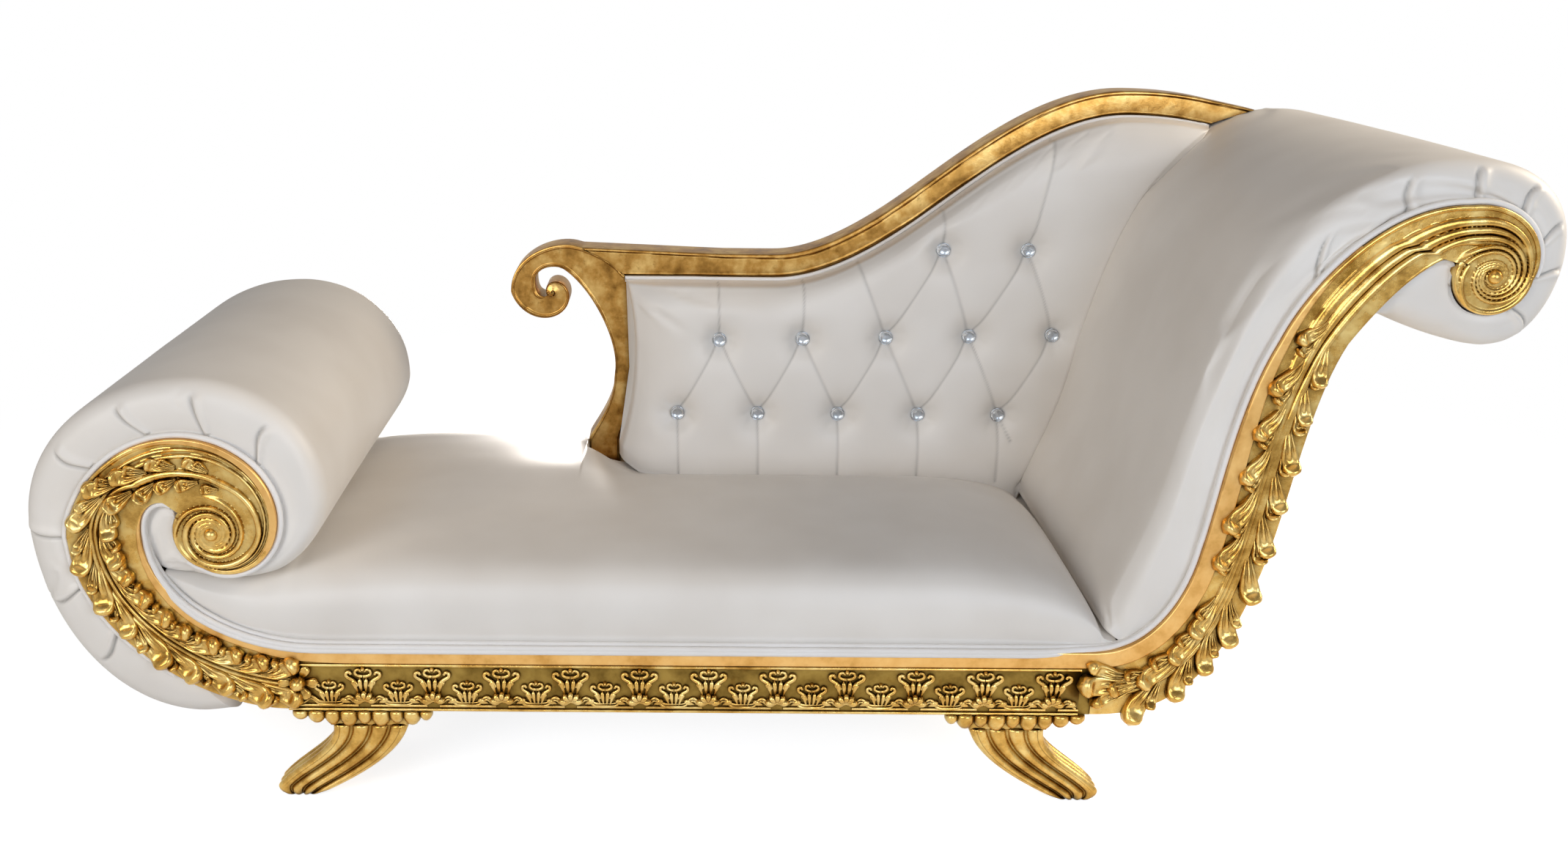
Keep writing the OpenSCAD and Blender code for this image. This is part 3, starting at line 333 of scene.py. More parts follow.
# The same leaf on the plain band, laid closer and burnished to an orange satin
gilt_smooth = finish("burnished_gold_band", gilding("efc37c", "e6b56c", "d19e55", 0.1, 0.36, 0.5))
# The frieze's ground is left in the toning wax, so it is olive beside its ornament
gilt_ground = finish("toned_gold_ground", gilding("a48744", "8e7236", "6c5424", 0.4, 0.4, 0.8))
# Coated leatherette: warm white, satin, with a grain too fine to count, and a grey for the painted
# shade in its folds
leather = finish("white_leatherette", hide("ebe6df", "e4ded6", "8f8a84", 1.6))
welt = finish("welt_leatherette", hide("f0edea", "e9e5e0", "8f8a84", 1.2))
# The stones are clear and sharp, and each sits in a bright plated cup
crystal = finish("cut_crystal", cut_glass)
chrome = finish("chromed_cup", speckled("d9dcdf", "b9bdc2", 6, 0.16, 1.0, 0.1))
# Inside and underneath: dull plated screws, sawn and peeled timber, plain woven cloth
steel = finish("zinc_plated_steel", speckled("b9bbbb", "8e9090", 2.5, 0.4, 1.0))
pine = finish("sawn_pine", speckled("d8b27c", "b98e57", 7, 0.65, 0.0, 0.5, 8))
plywood = finish("birch_plywood", speckled("cfae7e", "b08d5f", 4, 0.65, 0.0, 0.5, 8))
black_cloth = finish("black_dust_cloth", speckled("2a2a2b", "171718", 1.2, 0.85, 0.0, 0.4))
lining = finish("pale_back_cloth", speckled("dad7d3", "c9c5c0", 1.5, 0.8, 0.0, 0.4))

# Pieces


def shown(name, data):
    """An object for the data, in the scene."""
    obj = bpy.data.objects.new(name, data)
    bpy.context.scene.collection.objects.link(obj)
    return obj


def enter(obj, material, stands_for=()):
    """Puts a finished mesh on the chaise: finish, body and the solids it stands for."""
    obj.data.materials.clear()
    obj.data.materials.append(material)
    for face in obj.data.polygons:
        face.material_index = 0
    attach(obj, "root")
    if stands_for:
        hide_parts(*stands_for)
    return obj


def gilded(obj, *stands_for):
    return enter(obj, gilt, stands_for)


def mesh_of(name, points, edges=(), faces=(), **values):
    """A mesh from points in millimetres, with a number or a vector at each point."""
    mesh = bpy.data.meshes.new(name)
    mesh.from_pydata((np.asarray(points, float) * MM).tolist(), edges, faces)
    for label, rows in values.items():
        rows = np.asarray(rows, float)
        kind, field = ("FLOAT_VECTOR", "vector") if rows.ndim > 1 else ("FLOAT", "value")
        mesh.attributes.new(label, kind, "POINT").data.foreach_set(field, rows.ravel())
    return mesh


def loft(name, net, sharp=None, **values):
    """A closed solid through loops of points, (loops, points, 3), with a fan at both ends.

    Its faces point outwards, and edges sharper than the angle stay sharp. A value is given for
    each point of the net, such as the painted shade it takes in a stitched fold.
    """
    m, n = net.shape[:2]
    points = np.concatenate([net.reshape(-1, 3), [net[0].mean(0), net[-1].mean(0)]])
    k = np.arange(m * n).reshape(m, n)
    a, b = k[:-1], k[1:]
    faces = np.stack([a, b, np.roll(b, -1, 1), np.roll(a, -1, 1)], -1).reshape(-1, 4).tolist()
    for centre, first, second in ((m * n, k[0], np.roll(k[0], -1)),
                                  (m * n + 1, np.roll(k[-1], -1), k[-1])):
        faces += [[centre, int(p), int(q)] for p, q in zip(first, second)]
    mesh = mesh_of(name, points, [], faces,
                   **{label: np.append(rows.ravel(), [0, 0]) for label, rows in values.items()})
    form = bmesh.new()
    form.from_mesh(mesh)
    bmesh.ops.remove_doubles(form, verts=form.verts, dist=1e-6)
    bmesh.ops.recalc_face_normals(form, faces=form.faces)
    form.to_mesh(mesh)
    form.free()
    mesh.shade_smooth()
    if sharp:
        mesh.set_sharp_from_angle(angle=math.radians(sharp))
    return shown(name, mesh)


def joined(name, objects):
    """The objects' meshes as one object."""
    form = bmesh.new()
    for obj in objects:
        form.from_mesh(obj.data)
        bpy.data.objects.remove(obj)
    mesh = bpy.data.meshes.new(name)
    form.to_mesh(mesh)
    form.free()
    mesh.shade_smooth()
    return shown(name, mesh)


def tree_with(name, inputs):
    """A geometry node tree with named inputs, and its two end nodes."""
    tree = bpy.data.node_groups.new(name, "GeometryNodeTree")
    tree.interface.new_socket("Geometry", in_out="OUTPUT", socket_type="NodeSocketGeometry")
    for label, kind in {"Geometry": "NodeSocketGeometry", **inputs}.items():
        tree.interface.new_socket(label, in_out="INPUT", socket_type=kind)
    return tree, add(tree, "NodeGroupInput").outputs, add(tree, "NodeGroupOutput")


def ended(tree, given, end, shape):
    """Ends a tree: its shape made real, with its finish."""
    whole = add(tree, "GeometryNodeRealizeInstances", links={"Geometry": shape})
    done = add(tree, "GeometryNodeSetMaterial", links={
        "Geometry": whole, "Material": given["Finish"]})
    tree.links.new(end.inputs[0], done.outputs[0])
    return tree


def welt_tree():
    """A round cord swept along a path of edges, with its radius from the points."""
    tree, given, end = tree_with("cord_on_path", {
        "Radius": "NodeSocketFloat", "Sides": "NodeSocketInt", "Finish": "NodeSocketMaterial"})
    path = add(tree, "GeometryNodeMeshToCurve", links={"Mesh": given["Geometry"]})
    share = add(tree, "GeometryNodeInputNamedAttribute", values={"Name": "share"})
    profile = add(tree, "GeometryNodeCurvePrimitiveCircle", links={
        "Resolution": given["Sides"], "Radius": given["Radius"]})
    return ended(tree, given, end, add(
        tree, "GeometryNodeCurveToMesh", values={"Fill Caps": True}, links={
            "Curve": path, "Profile Curve": profile, "Scale": share.outputs["Attribute"]}))


def scatter_tree():
    """One shape set at every point, turned and sized by the points' own values."""
    tree, given, end = tree_with("shape_on_points", {
        "Shape": "NodeSocketObject", "Finish": "NodeSocketMaterial"})
    shape = add(tree, "GeometryNodeObjectInfo", links={"Object": given["Shape"]})
    turn, size = [add(tree, "GeometryNodeInputNamedAttribute", {"data_type": "FLOAT_VECTOR"},
                      {"Name": label}).outputs["Attribute"] for label in ("turn", "size")]
    return ended(tree, given, end, add(tree, "GeometryNodeInstanceOnPoints", links={
        "Points": given["Geometry"], "Instance": shape.outputs["Geometry"], "Rotation": turn,
        "Scale": size}))


cord_on_path = welt_tree()
shape_on_points = scatter_tree()


def grown(obj, tree, given):
    """Runs a geometry node tree on the object and keeps the plain mesh."""
    modifier = obj.modifiers.new(tree.name, "NODES")
    modifier.node_group = tree
    for item in tree.interface.items_tree:
        if item.in_out == "INPUT" and item.name in given:
            modifier[item.identifier] = given[item.name]
    graph = bpy.context.evaluated_depsgraph_get()
    mesh = bpy.data.meshes.new_from_object(obj.evaluated_get(graph))
    obj.modifiers.clear()
    obj.data = mesh
    mesh.shade_smooth()
    return obj


def cord(name, paths, radius, material, shares=None, sides=10):
    """Round cords along paths of (X, Y, Z) points."""
    ends = np.cumsum([len(path) for path in paths])
    edges = [(i, i + 1) for i in range(ends[-1] - 1) if i + 1 not in ends]
    share = np.ones(ends[-1]) if shares is None else np.concatenate(shares)
    obj = shown(name, mesh_of(name, np.concatenate(paths), edges, share=share))
    return grown(obj, cord_on_path, {"Radius": radius * MM, "Sides": sides, "Finish": material})


def strewn(name, shape, spots, material, turns=None, sizes=None):
    """The shape at each spot, by its turn (Euler angles) and size; the shape itself goes."""
    turns = np.zeros((len(spots), 3)) if turns is None else turns
    sizes = np.ones((len(spots), 3)) if sizes is None else sizes
    obj = grown(shown(name, mesh_of(name, spots, turn=turns, size=sizes)), shape_on_points,
                {"Shape": shape, "Finish": material})
    bpy.data.objects.remove(shape)
    return obj


def in_plane(path, y):
    """Points in X and Z as points in X, Y and Z."""
    return np.stack([path[:, 0], np.broadcast_to(y, len(path)), path[:, 1]], 1)


# Camera: at eye height on the carved side, looking down a little, with the photograph's framing
image_w = 2139
focal_px, centre_px = 1991.0, 930.0
sensor_w = 36
pitch, roll = math.radians(18), math.radians(0.4)
eye_point = at(-122, -2240, 1189.6)

camera = shown("camera", bpy.data.cameras.new("camera"))
camera.data.sensor_width = sensor_w
camera.data.lens = focal_px / image_w * sensor_w
camera.data.shift_x = (image_w / 2 - centre_px) / image_w
camera.matrix_world = (
    Matrix.Translation(eye_point * MM) @ Matrix.Rotation(math.pi / 2 - pitch, 4, "X")
    @ Matrix.Rotation(roll, 4, "Z"))
bpy.context.scene.camera = camera

# Light: a window at the head end, soft sources on both sides of the camera, one above and one
# low behind. Each lamp is (place, width, watts, colour) and faces the middle of the chaise.
middle = Vector((0, 0, 0.5))
lamps = {
    "key": ((1.5, -3.6, 1.5), 2.0, 50, "e0edff"),
    "left": ((-1.8, -3.6, 2.3), 2.0, 46, "eaf3ff"),
    "window": ((3.8, 0.4, 2.4), 2.0, 122, "fff0da"),
    "above": ((-0.3, -1.0, 4.2), 3.0, 19, "ffe9d0"),
    "fill": ((-2.6, -2.9, 1.3), 1.4, 29, "fff4e6"),
    "behind": ((-0.72, 3.8, 0.33), 0.35, 80, "fff8f0"),
}
for name, (place, width, watts, tint) in lamps.items():
    light = bpy.data.lights.new(name, "AREA")
    light.shape, light.size, light.energy, light.color = "DISK", width, watts, linear(tint)[:3]
    lamp = shown(name, light)
    lamp.location = place
    lamp.rotation_euler = (middle - Vector(place)).to_track_quat("-Z", "Y").to_euler()

world = bpy.data.worlds.new("studio")
bpy.context.scene.world = world
world.use_nodes = True
sky = world.node_tree
sky.nodes.clear()
ray = add(sky, "ShaderNodeLightPath").outputs
seen = add(sky, "ShaderNodeMath", {"operation": "MAXIMUM"},
           links={0: ray["Is Camera Ray"], 1: ray["Is Transmission Ray"]})
gloss = add(sky, "ShaderNodeMapRange", None, {"To Min": 0.04, "To Max": 0.62},
            {"Value": ray["Is Glossy Ray"]})
level = add(sky, "ShaderNodeMath", {"operation": "MAXIMUM"}, links={0: seen, 1: gloss})
height = add(sky, "ShaderNodeSeparateXYZ",
             links={"Vector": add(sky, "ShaderNodeTexCoord").outputs["Generated"]})
shade = add(sky, "ShaderNodeValToRGB", links={"Fac": height.outputs["Z"]},
            stops=[(0.0, "ffffff"), (0.35, "ffffff"), (0.8, "9c9c9c")])
add(sky, "ShaderNodeOutputWorld", links={"Surface": add(
    sky, "ShaderNodeBackground", links={"Color": shade, "Strength": level})})

# Floor: a pale sheet that reads as white and keeps the soft shadow
half = 9000
floor_corners = [(-half, -half, 0), (half, -half, 0), (half, half, 0), (-half, half, 0)]
floor_mesh = mesh_of("floor", floor_corners, [], [(0, 1, 2, 3)])
shown("floor", floor_mesh)


def pale_floor(tree, place):
    """Matt paper roll: white to the eye far off, and a diffuse sheet with a shadow close by."""
    matt = add(tree, "ShaderNodeBsdfDiffuse", values={"Color": linear("d6d6d6")})
    ray = add(tree, "ShaderNodeLightPath").outputs
    looked = ray["Is Camera Ray"]
    gloss = add(tree, "ShaderNodeMath", {"operation": "MULTIPLY"}, {1: 0.54},
                {0: ray["Is Glossy Ray"]})
    part = add(tree, "ShaderNodeMath", {"operation": "MULTIPLY_ADD"}, {1: 0.8},
               {0: looked, 2: gloss})
    whole = add(tree, "ShaderNodeMapRange", None, {"To Min": 0.5, "To Max": 1.0}, {"Value": looked})
    lift, white = [add(tree, "ShaderNodeEmission", links={"Strength": strength})
                   for strength in (part, whole)]
    near = add(tree, "ShaderNodeAddShader", links={0: matt, 1: lift})
    away = add(tree, "ShaderNodeVectorMath", {"operation": "LENGTH"}, links={0: place})
    share = add(tree, "ShaderNodeMapRange", {"interpolation_type": "SMOOTHSTEP"},
                {"From Min": 1.2, "From Max": 2.6}, {"Value": away.outputs["Value"]})
    return add(tree, "ShaderNodeMixShader", links={0: share, 1: near, 2: white})


floor_mesh.materials.append(finish("paper_floor", pale_floor))
bpy.context.scene.view_settings.view_transform = "Standard"

# Upholstery
cover_settings = {
    "quality": 5, "mass": 0.3, "tension_stiffness": 18, "compression_stiffness": 18,
    "shear_stiffness": 8, "bending_stiffness": 2.5, "use_pressure": True,
    "uniform_pressure_force": 4.0, "vertex_group_mass": "held"}
cover_frames = 20


def swollen(net, held, cap):
    """A padded net of loops, blown up as cloth; no point moves further than the cap.

    held is 1 where the cover is fixed to the frame and 0 where it is free to swell.
    """
    obj = loft("pad_in_work", net)
    if len(obj.data.vertices) != held.size + 2:
        bpy.data.objects.remove(obj)
        return net
    group = obj.vertex_groups.new(name="held")
    for index, weight in enumerate(np.append(held.ravel(), [1, 1])):
        group.add([index], float(weight), "REPLACE")
    cloth = obj.modifiers.new("cover", "CLOTH")
    for name, value in cover_settings.items():
        setattr(cloth.settings, name, value)
    cloth.settings.effector_weights.gravity = 0
    cloth.collision_settings.use_collision = False
    cloth.point_cache.frame_start, cloth.point_cache.frame_end = 1, cover_frames
    scene = bpy.context.scene
    for frame_number in range(1, cover_frames + 1):
        scene.frame_set(frame_number)
    graph = bpy.context.evaluated_depsgraph_get()
    shaped = np.empty((held.size + 2) * 3, np.float32)
    obj.evaluated_get(graph).data.vertices.foreach_get("co", shaped)
    scene.frame_set(1)
    mesh = obj.data
    bpy.data.objects.remove(obj)
    bpy.data.meshes.remove(mesh)
    moved = shaped.reshape(-1, 3)[:-2].reshape(net.shape) / MM - net
    far = np.linalg.norm(moved, axis=2, keepdims=True)
    return net + moved * (cap * np.tanh(far / cap) / np.maximum(far, 1e-6))


def paired(outer, inner, step):
    """Both lines drawn finer together, at even steps along the outer one."""
    fine = refined(outer, 24), refined(inner, 24)
    along = lengths(fine[0])
    steps = np.linspace(0, along[-1], int(along[-1] / step) + 1)
    return [points_at(steps, line, along) for line in fine]


front_rows, bend_rows, top_rows = 8, 8, 34
edge_rows = front_rows + bend_rows
wrap_rows = 2 * edge_rows + top_rows - 2


def wrapped_net(outer, inner, roll_r):
    """Loops of a pad wrapped round a scroll: up its front, over, down its rear and back under."""
    reach = np.linalg.norm(outer - inner, axis=1)[:, None]
    r = np.minimum(roll_r[:, None], 0.75 * reach)
    quarter = np.radians(np.linspace(0, 90, bend_rows + 1))
    up = np.linspace(0, 1, front_rows + 1)[:-1]
    share = np.linspace(-1, 1, top_rows)[1:-1]
    share = 0.5 + 0.5 * np.sign(share) * np.abs(share) ** 0.8
    front_y = np.hstack([pad_front + 1.5 - 3 * np.sin(np.pi * up * 0.9) + 0 * r,
                         pad_front + r - r * np.cos(quarter)])
    front_h = np.hstack([(reach - r) * up, reach - r + r * np.sin(quarter)])
    base = np.linspace(pad_rear, pad_front, 6)[1:-1] + 0 * r
    y = np.hstack([front_y, pad_front + r + (pad_rear - pad_front - 2 * r) * share,
                   pad_front + pad_rear - front_y[:, ::-1], base])
    h = np.hstack([front_h, reach + 0 * share, front_h[:, ::-1], 0 * base])
    spots = inner[:, None] + ((outer - inner) / np.maximum(reach, 0.001))[:, None] * h[..., None]
    return np.stack([spots[..., 0], y, spots[..., 1]], -1)


def pleat(net, fold, spots, reach, depth, width, rear=False):
    """Stitched folds that run outward from the piping at the given shares of the pad's length.

    Each is a groove with a full lip on one side, and it hooks over as it fades past the reach.
    """
    columns = np.arange(2 * wrap_rows - 2, 2, -1) if rear else np.arange(2 * wrap_rows - 4)
    along = lengths(net[:, 2 * edge_rows])
    normal = np.cross(np.gradient(net, axis=0), np.gradient(net, axis=1))
    normal /= np.maximum(np.linalg.norm(normal, axis=2), 1e-6)[..., None]
    if normal[len(net) // 3, 2, 1] > 0:
        normal = -normal
    away = np.zeros(net.shape[:2])
    for k, spot in enumerate(spots):
        row = np.argmin(np.abs(along - spot * along[-1]))
        for j, h in zip(columns, lengths(net[row, columns])):
            if h > reach:
                break
            hook = (20 - 6 * (k % 3)) * 4 * max(0.0, h / reach - 0.5) ** 2
            fade = 1 - eased(h, reach * 0.8, reach)
            gap = along - spot * along[-1] - hook
            groove = fade * ridge(gap, 0, width * 0.5)
            away[:, j] += depth * (0.8 * fade * ridge(gap, width * 1.6, width * 1.3) - groove)
            # Painted shade down in the groove, which greys the leatherette there
            fold[:, j] = np.maximum(fold[:, j], 0.75 * groove)
    return net + normal * away[..., None]


def pad_from(name, net, held, cap, pleats, nodes):
    """Swells the net, draws it finer both ways, presses the folds in with painted shade in them and
    makes the piece.
    """
    fine = refined_both(swollen(net, held, cap), 2)
    fold = np.zeros(fine.shape[:2])
    for settings in pleats:
        fine = pleat(fine, fold, **settings)
    return enter(loft(name, fine, fold=fold), leather, nodes)


def wrapped_pad(name, outer, inner, roll_r, pleats, nodes):
    outer, inner = paired(outer, inner, 6.5)
    net = wrapped_net(outer, inner, roll_r(outer))
    held = np.ones(net.shape[:2])
    held[2:-2, 2:wrap_rows - 2] = 0
    return pad_from(name, net, held, 7, pleats, nodes)


def foot_rounding(outer):
    """The roll's front is full and round, but flat to the wood inside the scroll's hollow."""
    inside = (outer[:, 0] < foot_cusp[0]) & (np.linalg.norm(outer - foot_eye, axis=1) < 115)
    soft = np.convolve(inside.astype(float), np.ones(9) / 9, "same")
    return 32 * (1 - soft) + 4 * soft


# The foot roll's padding: its outer and inner lines, point for point as in the frame
wrap_gap = 1.6
foot_roll_nose = foot_eye + at(84, -65)
foot_tip = on_curve(*cradle_bend, 0.18) + at(2, 0)
foot_under = curve(foot_roll_nose, foot_roll_nose - at(40, 15), foot_tip + at(55, -26), foot_tip, 6)
foot_roll_bends = bends(
    (foot_join - 130, rail_low - 16), (-155, -39), ((2, -170), foot_left + at(-67, 5), (0, 125)),
    ((-130, 0), (-800, 636.4), (100, 0)), ((0, 100), foot_eye + at(156, 44), (0, -40)),
    ((35, 18), foot_roll_nose))
foot_roll_outer = chain(
    drawn(foot_roll_bends, 8, 8, 8, 5), foot_under,
    np.array([foot_tip, foot_hollow + at(1.5, -10), foot_hollow + at(3, 18),
              foot_cusp + at(-34, 14), foot_cusp + at(-10, 10)]))
foot_roll_inner = beside(chain(foot_belly[4:], *[foot_spiral(*part) for part in (
    (180, 90, 8), (90, 0, 8), (0, -55, 5), (-55, -132, 6), (-132, -200, 4))]), wrap_gap)
wrapped_pad("foot_roll", foot_roll_outer, foot_roll_inner, foot_rounding, [
    dict(spots=(0.13, 0.21, 0.29, 0.37, 0.45, 0.53, 0.6), reach=84, depth=4.6, width=5.5),
    dict(spots=(0.17, 0.25, 0.33, 0.41, 0.49, 0.57), reach=70, depth=5.0, width=6.0, rear=True)],
    ("foot_roll_cover", "foot_roll_foam"))

# The head rest and its roll
rest_foot = at(487, 274)
rest_bends = bends(rest_foot, (23, 71), ((-15, -80), (563, 500), (17, 90)),
                   ((-38, -80), (646, 780), (39, 85)), ((-120, 0), (890, 949), (90, 3)),
                   ((0, 92), (1048, 822), (0, -62)), ((50, 0), (965, 696), (-50, 0)),
                   ((42, -16), (806, 744)))
rest_low, rest_mid = [curve(*bend, 6) for bend in rest_bends[:2]]
rest_rise = rest_bends[2]
front_low, front_mid, front_top = [curve(*bend, n) for bend, n in zip(head_front_bends, (10, 8, 9))]
rest_inner = np.concatenate([
    chain(front_low[2:], resampled(front_mid, 5), resampled(front_top, 8),
          head_spiral(crest_angle * np.arange(8) / 7)[::-1], ring(head_eye, head_disc, 0, -90, 6),
          ring(head_eye, head_disc, -90, -200, 4)),
    on_curve(*head_back_bends[2], at(68, 54, 38, 22)[:, None] / 70)])
wrapped_pad("head_rest", drawn(rest_bends, 6, 6, 9, 7, 6, 8), beside(rest_inner, wrap_gap),
            lambda line: np.full(len(line), 30.0), [
    dict(spots=(0.45, 0.54, 0.605, 0.66, 0.71, 0.765, 0.83), reach=68, depth=4.4, width=5.5),
    dict(spots=(0.5, 0.58, 0.64, 0.7, 0.76), reach=64, depth=4.6, width=6.0, rear=True)],
    ("head_rest_cover", "head_rest_foam"))

# Seat: its crown line and underside line, then the share of the crown across the seat
arm_x, seat_top = -236.0, 372.0
seat_nose = foot_roll_nose + at(14, -1)
seat_line_top = np.concatenate([
    (foot_under[6] * 0.6 + foot_under[5] * 0.4 - at(0, 1.2))[None],
    foot_under[5::-1] - at(0, 1.2),
    curve(seat_nose, seat_nose + at(40, 10), (foot_join + 120, seat_top),
          (arm_x - 104, seat_top), 8),
    [[x, seat_top] for x in (-310, -303, -296, -292, -289, *range(-270, 240, 30))],
    curve((250, seat_top), (380, seat_top), (460, seat_top - 30), rest_foot - at(2, 2.5), 10),
    [[head_join + 34, rail_top + 11.5]]])
seat_floor = np.where(seat_line_top[:, 0] < foot_join,
                      np.interp(seat_line_top[:, 0], *foot_cradle.T) + 1.5,
                      np.interp(seat_line_top[:, 0], *front_low.T) + 0.5)
seam = at(-306, 400, -242, 350, -196, 328, -85, 320, 394, 307, 455, 292, 490, 276).reshape(-1, 2)
# Places across the seat and the crown's share there: beyond the arm, and along the back
crown_front = (-343, .02, -350, .3, -348, .58, -331, .8, -290, .93, -195, .985, -60, 1)
crown_open = at(*crown_front, 80, 1, 170, .98, 240, .95, 298, .9, 337, .76, 349, .45,
                345, .02).reshape(-1, 2)
crown_backed = at(*crown_front, 40, .93, 120, .76, 190, .54, 225, .46, 255, .42, 301, .4,
                  304, .02).reshape(-1, 2)


def seam_z(x):
    return np.interp(x, *seam.T)


def seat_net():
    loops = []
    for (x, top), low in zip(refined(seat_line_top, 4), refined(seat_floor, 4)):
        beyond = np.clip((arm_x - 54 - x) / 3, 0, 1)
        full = 1 - eased(x, arm_x - 70, arm_x + 45)
        blend = at(beyond, full)
        y, share = refined(blend * crown_open + (1 - blend) * crown_backed, 4).T
        near_arm = eased(x, arm_x - 210, arm_x - 70) * beyond
        share = share - 0.09 * near_arm * eased(y, 60, 260) * (y < 345)
        z = low + np.maximum(2, (top - low) * share)
        if x > arm_x - 53:
            z = np.where(y > 160, np.minimum(z, seam_z(x) - 1), z)
        proud = np.clip((top - low - 30) / 70, 0, 1)
        y = np.where(y < pad_front, pad_front - (pad_front - y) * proud, y)
        base = np.linspace(y[-1], y[0], 8)[1:-1]
        y, z = np.append(y, base), np.append(z, 0 * base + low)
        loops.append(np.stack([0 * y + x, y, z], 1))
    return np.array(loops)


seat_loops = seat_net()
seat_held = np.ones(seat_loops.shape[:2])
seat_held[10:-6, 2:34] = 0
pad_from("seat", seat_loops, seat_held, 6, [], ("seat_cover", "seat_foam"))

# Back pad: a net between its four edges
back_low_z, back_crest_z = 650.0, 937.0
back_left, back_low = at(arm_x, seam_z(arm_x) + 1), at(484, seam_z(484) + 1)
back_corner = at(arm_x + 12, back_low_z + 1)
back_end_t = 0.65
back_end = on_curve(*rest_rise, back_end_t)
rail_under = chain(np.array([back_corner, (-100, back_low_z + 1)]), drawn(bends(
    (-100, back_low_z + 1), (40, -1), ((-40, 0), (40, back_low_z), (90, 0)),
    ((-83, -63), (308, (back_low_z + back_crest_z) / 2 - 22), (100, 75)),
    ((-116, 0), (636, back_crest_z), (54, 0)), ((-42, 10), back_end)), 6, 24, 24, 12))
arm_side = curve(back_left, back_left + at(31, 88), back_corner + at(28, -91), back_corner, 24)
rest_side = np.concatenate([
    [back_low], rest_low[rest_low[:, 1] > back_low[1] + 8], rest_mid[1:],
    on_curve(*rest_rise, back_end_t * np.arange(1, 7)[:, None] / 6)])

cols, rows = 110, 54
edge_x = np.linspace(back_left[0], back_low[0], cols + 1)
edge_low = np.stack([edge_x, seam_z(edge_x) - 25], 1)
edge_high = beside(resampled(rail_under, cols), -7.6)
edge_left = resampled(np.concatenate([edge_low[:1], arm_side]), rows)
edge_right = resampled(np.concatenate([edge_low[-1:], beside(rest_side, 3)]), rows)
edge_high[0], edge_high[-1] = edge_left[-1] + at(5, -5), edge_right[-1] - at(3, 8)
edge_left[-1], edge_right[-1] = edge_high[0], edge_high[-1]

tuft_depth, back_t = 22.0, 96.0
pad_back_y = rear_inner + 7
button_y = pad_back_y - back_t + tuft_depth * 0.9
low_row = [at(arm_x + 106 + 142 * i, seat_top + 47) for i in range(5)]
mid_row = [at(arm_x + 106 + 145 * (i + 0.5), back_low_z - 97 + 3 * i) for i in range(5)]
high_row = [at(324, 714), at(469, 714)]
buttons = np.array(low_row + mid_row + high_row)
creases = [(spot, at(spot[0] + 3, 296)) for spot in low_row]
creases += [*zip(low_row, mid_row), *zip(low_row[1:], mid_row)]
creases += [(mid_row[0], at(-60, 648)), (mid_row[1], at(88, 656)), (mid_row[2], at(180, 690)),
            (mid_row[2], high_row[0]), (high_row[0], mid_row[3]), (mid_row[3], high_row[1]),
            (high_row[1], mid_row[4]), (high_row[0], at(322, 800)), (high_row[1], at(505, 905)),
            (low_row[4], low_row[4] + at(24, -46))]


def near_line(p, a, b):
    """Distance from each point to the line between a and b, and how far along it that is."""
    span = b - a
    t = np.clip(((p - a) @ span) / (span @ span), 0, 1)
    return np.linalg.norm(p - (a + t[..., None] * span), axis=-1), t


def full_at(s, width):
    """How full the pad is at a share from its edge: it rises round within the width."""
    return dome(1 - np.minimum(s / width, 1))


def tufted(points, plump):
    """Depth of the pad with its buttons pulled in and the folds between them, and the painted shade
    along each fold.
    """
    depth = plump.copy()
    for button in buttons:
        off = points - button
        far = np.linalg.norm(off, axis=-1)
        depth -= tuft_depth * 0.9 * ridge(far, 0, 32)
        depth += 0.8 * np.cos(7 * np.arctan2(off[..., 1], off[..., 0])) * ridge(far, 24, 9)
        depth += ridge(far, 0, 17) * (np.minimum(depth, pad_back_y - button_y - 1) - depth)
    groove, fold = np.zeros(depth.shape), np.zeros(depth.shape)
    for a, b in creases:
        gap, t = near_line(points, a, b)
        firm = 0.55 + 0.45 * np.abs(2 * t - 1)
        groove = np.maximum(groove, 2 * firm * (ridge(gap, 0, 2) + ridge(gap, 0, 11)))
        # Painted shade along the crease line
        fold = np.maximum(fold, (0.15 + 0.4 * firm) * ridge(gap, 0, 1.8))
    return depth - groove, fold


u = np.linspace(0, 1, cols + 1)[:, None]
v = np.linspace(0, 1, rows + 1)[None, :]
uu, vv = u[..., None], v[..., None]
back_xz = ((1 - vv) * (edge_low[:, None] - (1 - uu) * edge_low[0] - uu * edge_low[-1])
           + vv * (edge_high[:, None] - (1 - uu) * edge_high[0] - uu * edge_high[-1])
           + (1 - uu) * edge_left[None] + uu * edge_right[None])
plump = (back_t * (0.24 + 0.76 * full_at(u, 0.14)) * (0.3 + 0.7 * full_at(1 - v, 0.16))
         * (0.86 + 0.14 * full_at(1 - u, 0.1)) * (0.88 + 0.12 * full_at(v, 0.15)))
front_net = np.insert(back_xz, 1, pad_back_y - np.maximum(8, plump), -1)
rear_net = np.insert(back_xz, 1, pad_back_y, -1)
back_net = np.concatenate([front_net, rear_net[:, ::-9]], 1)
back_held = np.ones(back_net.shape[:2])
back_held[2:-2, 2:rows - 1] = 0
fine_back = refined_both(swollen(back_net, back_held, 4), 3)
front_part = fine_back[:, :3 * rows + 1]
depth, painted_crease_shade = tufted(front_part[..., [0, 2]], pad_back_y - front_part[..., 1])
front_part[..., 1] = pad_back_y - np.maximum(6, depth)
# Painted shade in the creases, which greys the leatherette there
back_fold = np.zeros(fine_back.shape[:2])
back_fold[:, :3 * rows + 1] = painted_crease_shade
enter(loft("back_pad", fine_back, fold=back_fold), leather,
      ("back_cover", "back_foam"))

# Welts: cords of leatherette along every gilt edge; the seat's lap down over the band


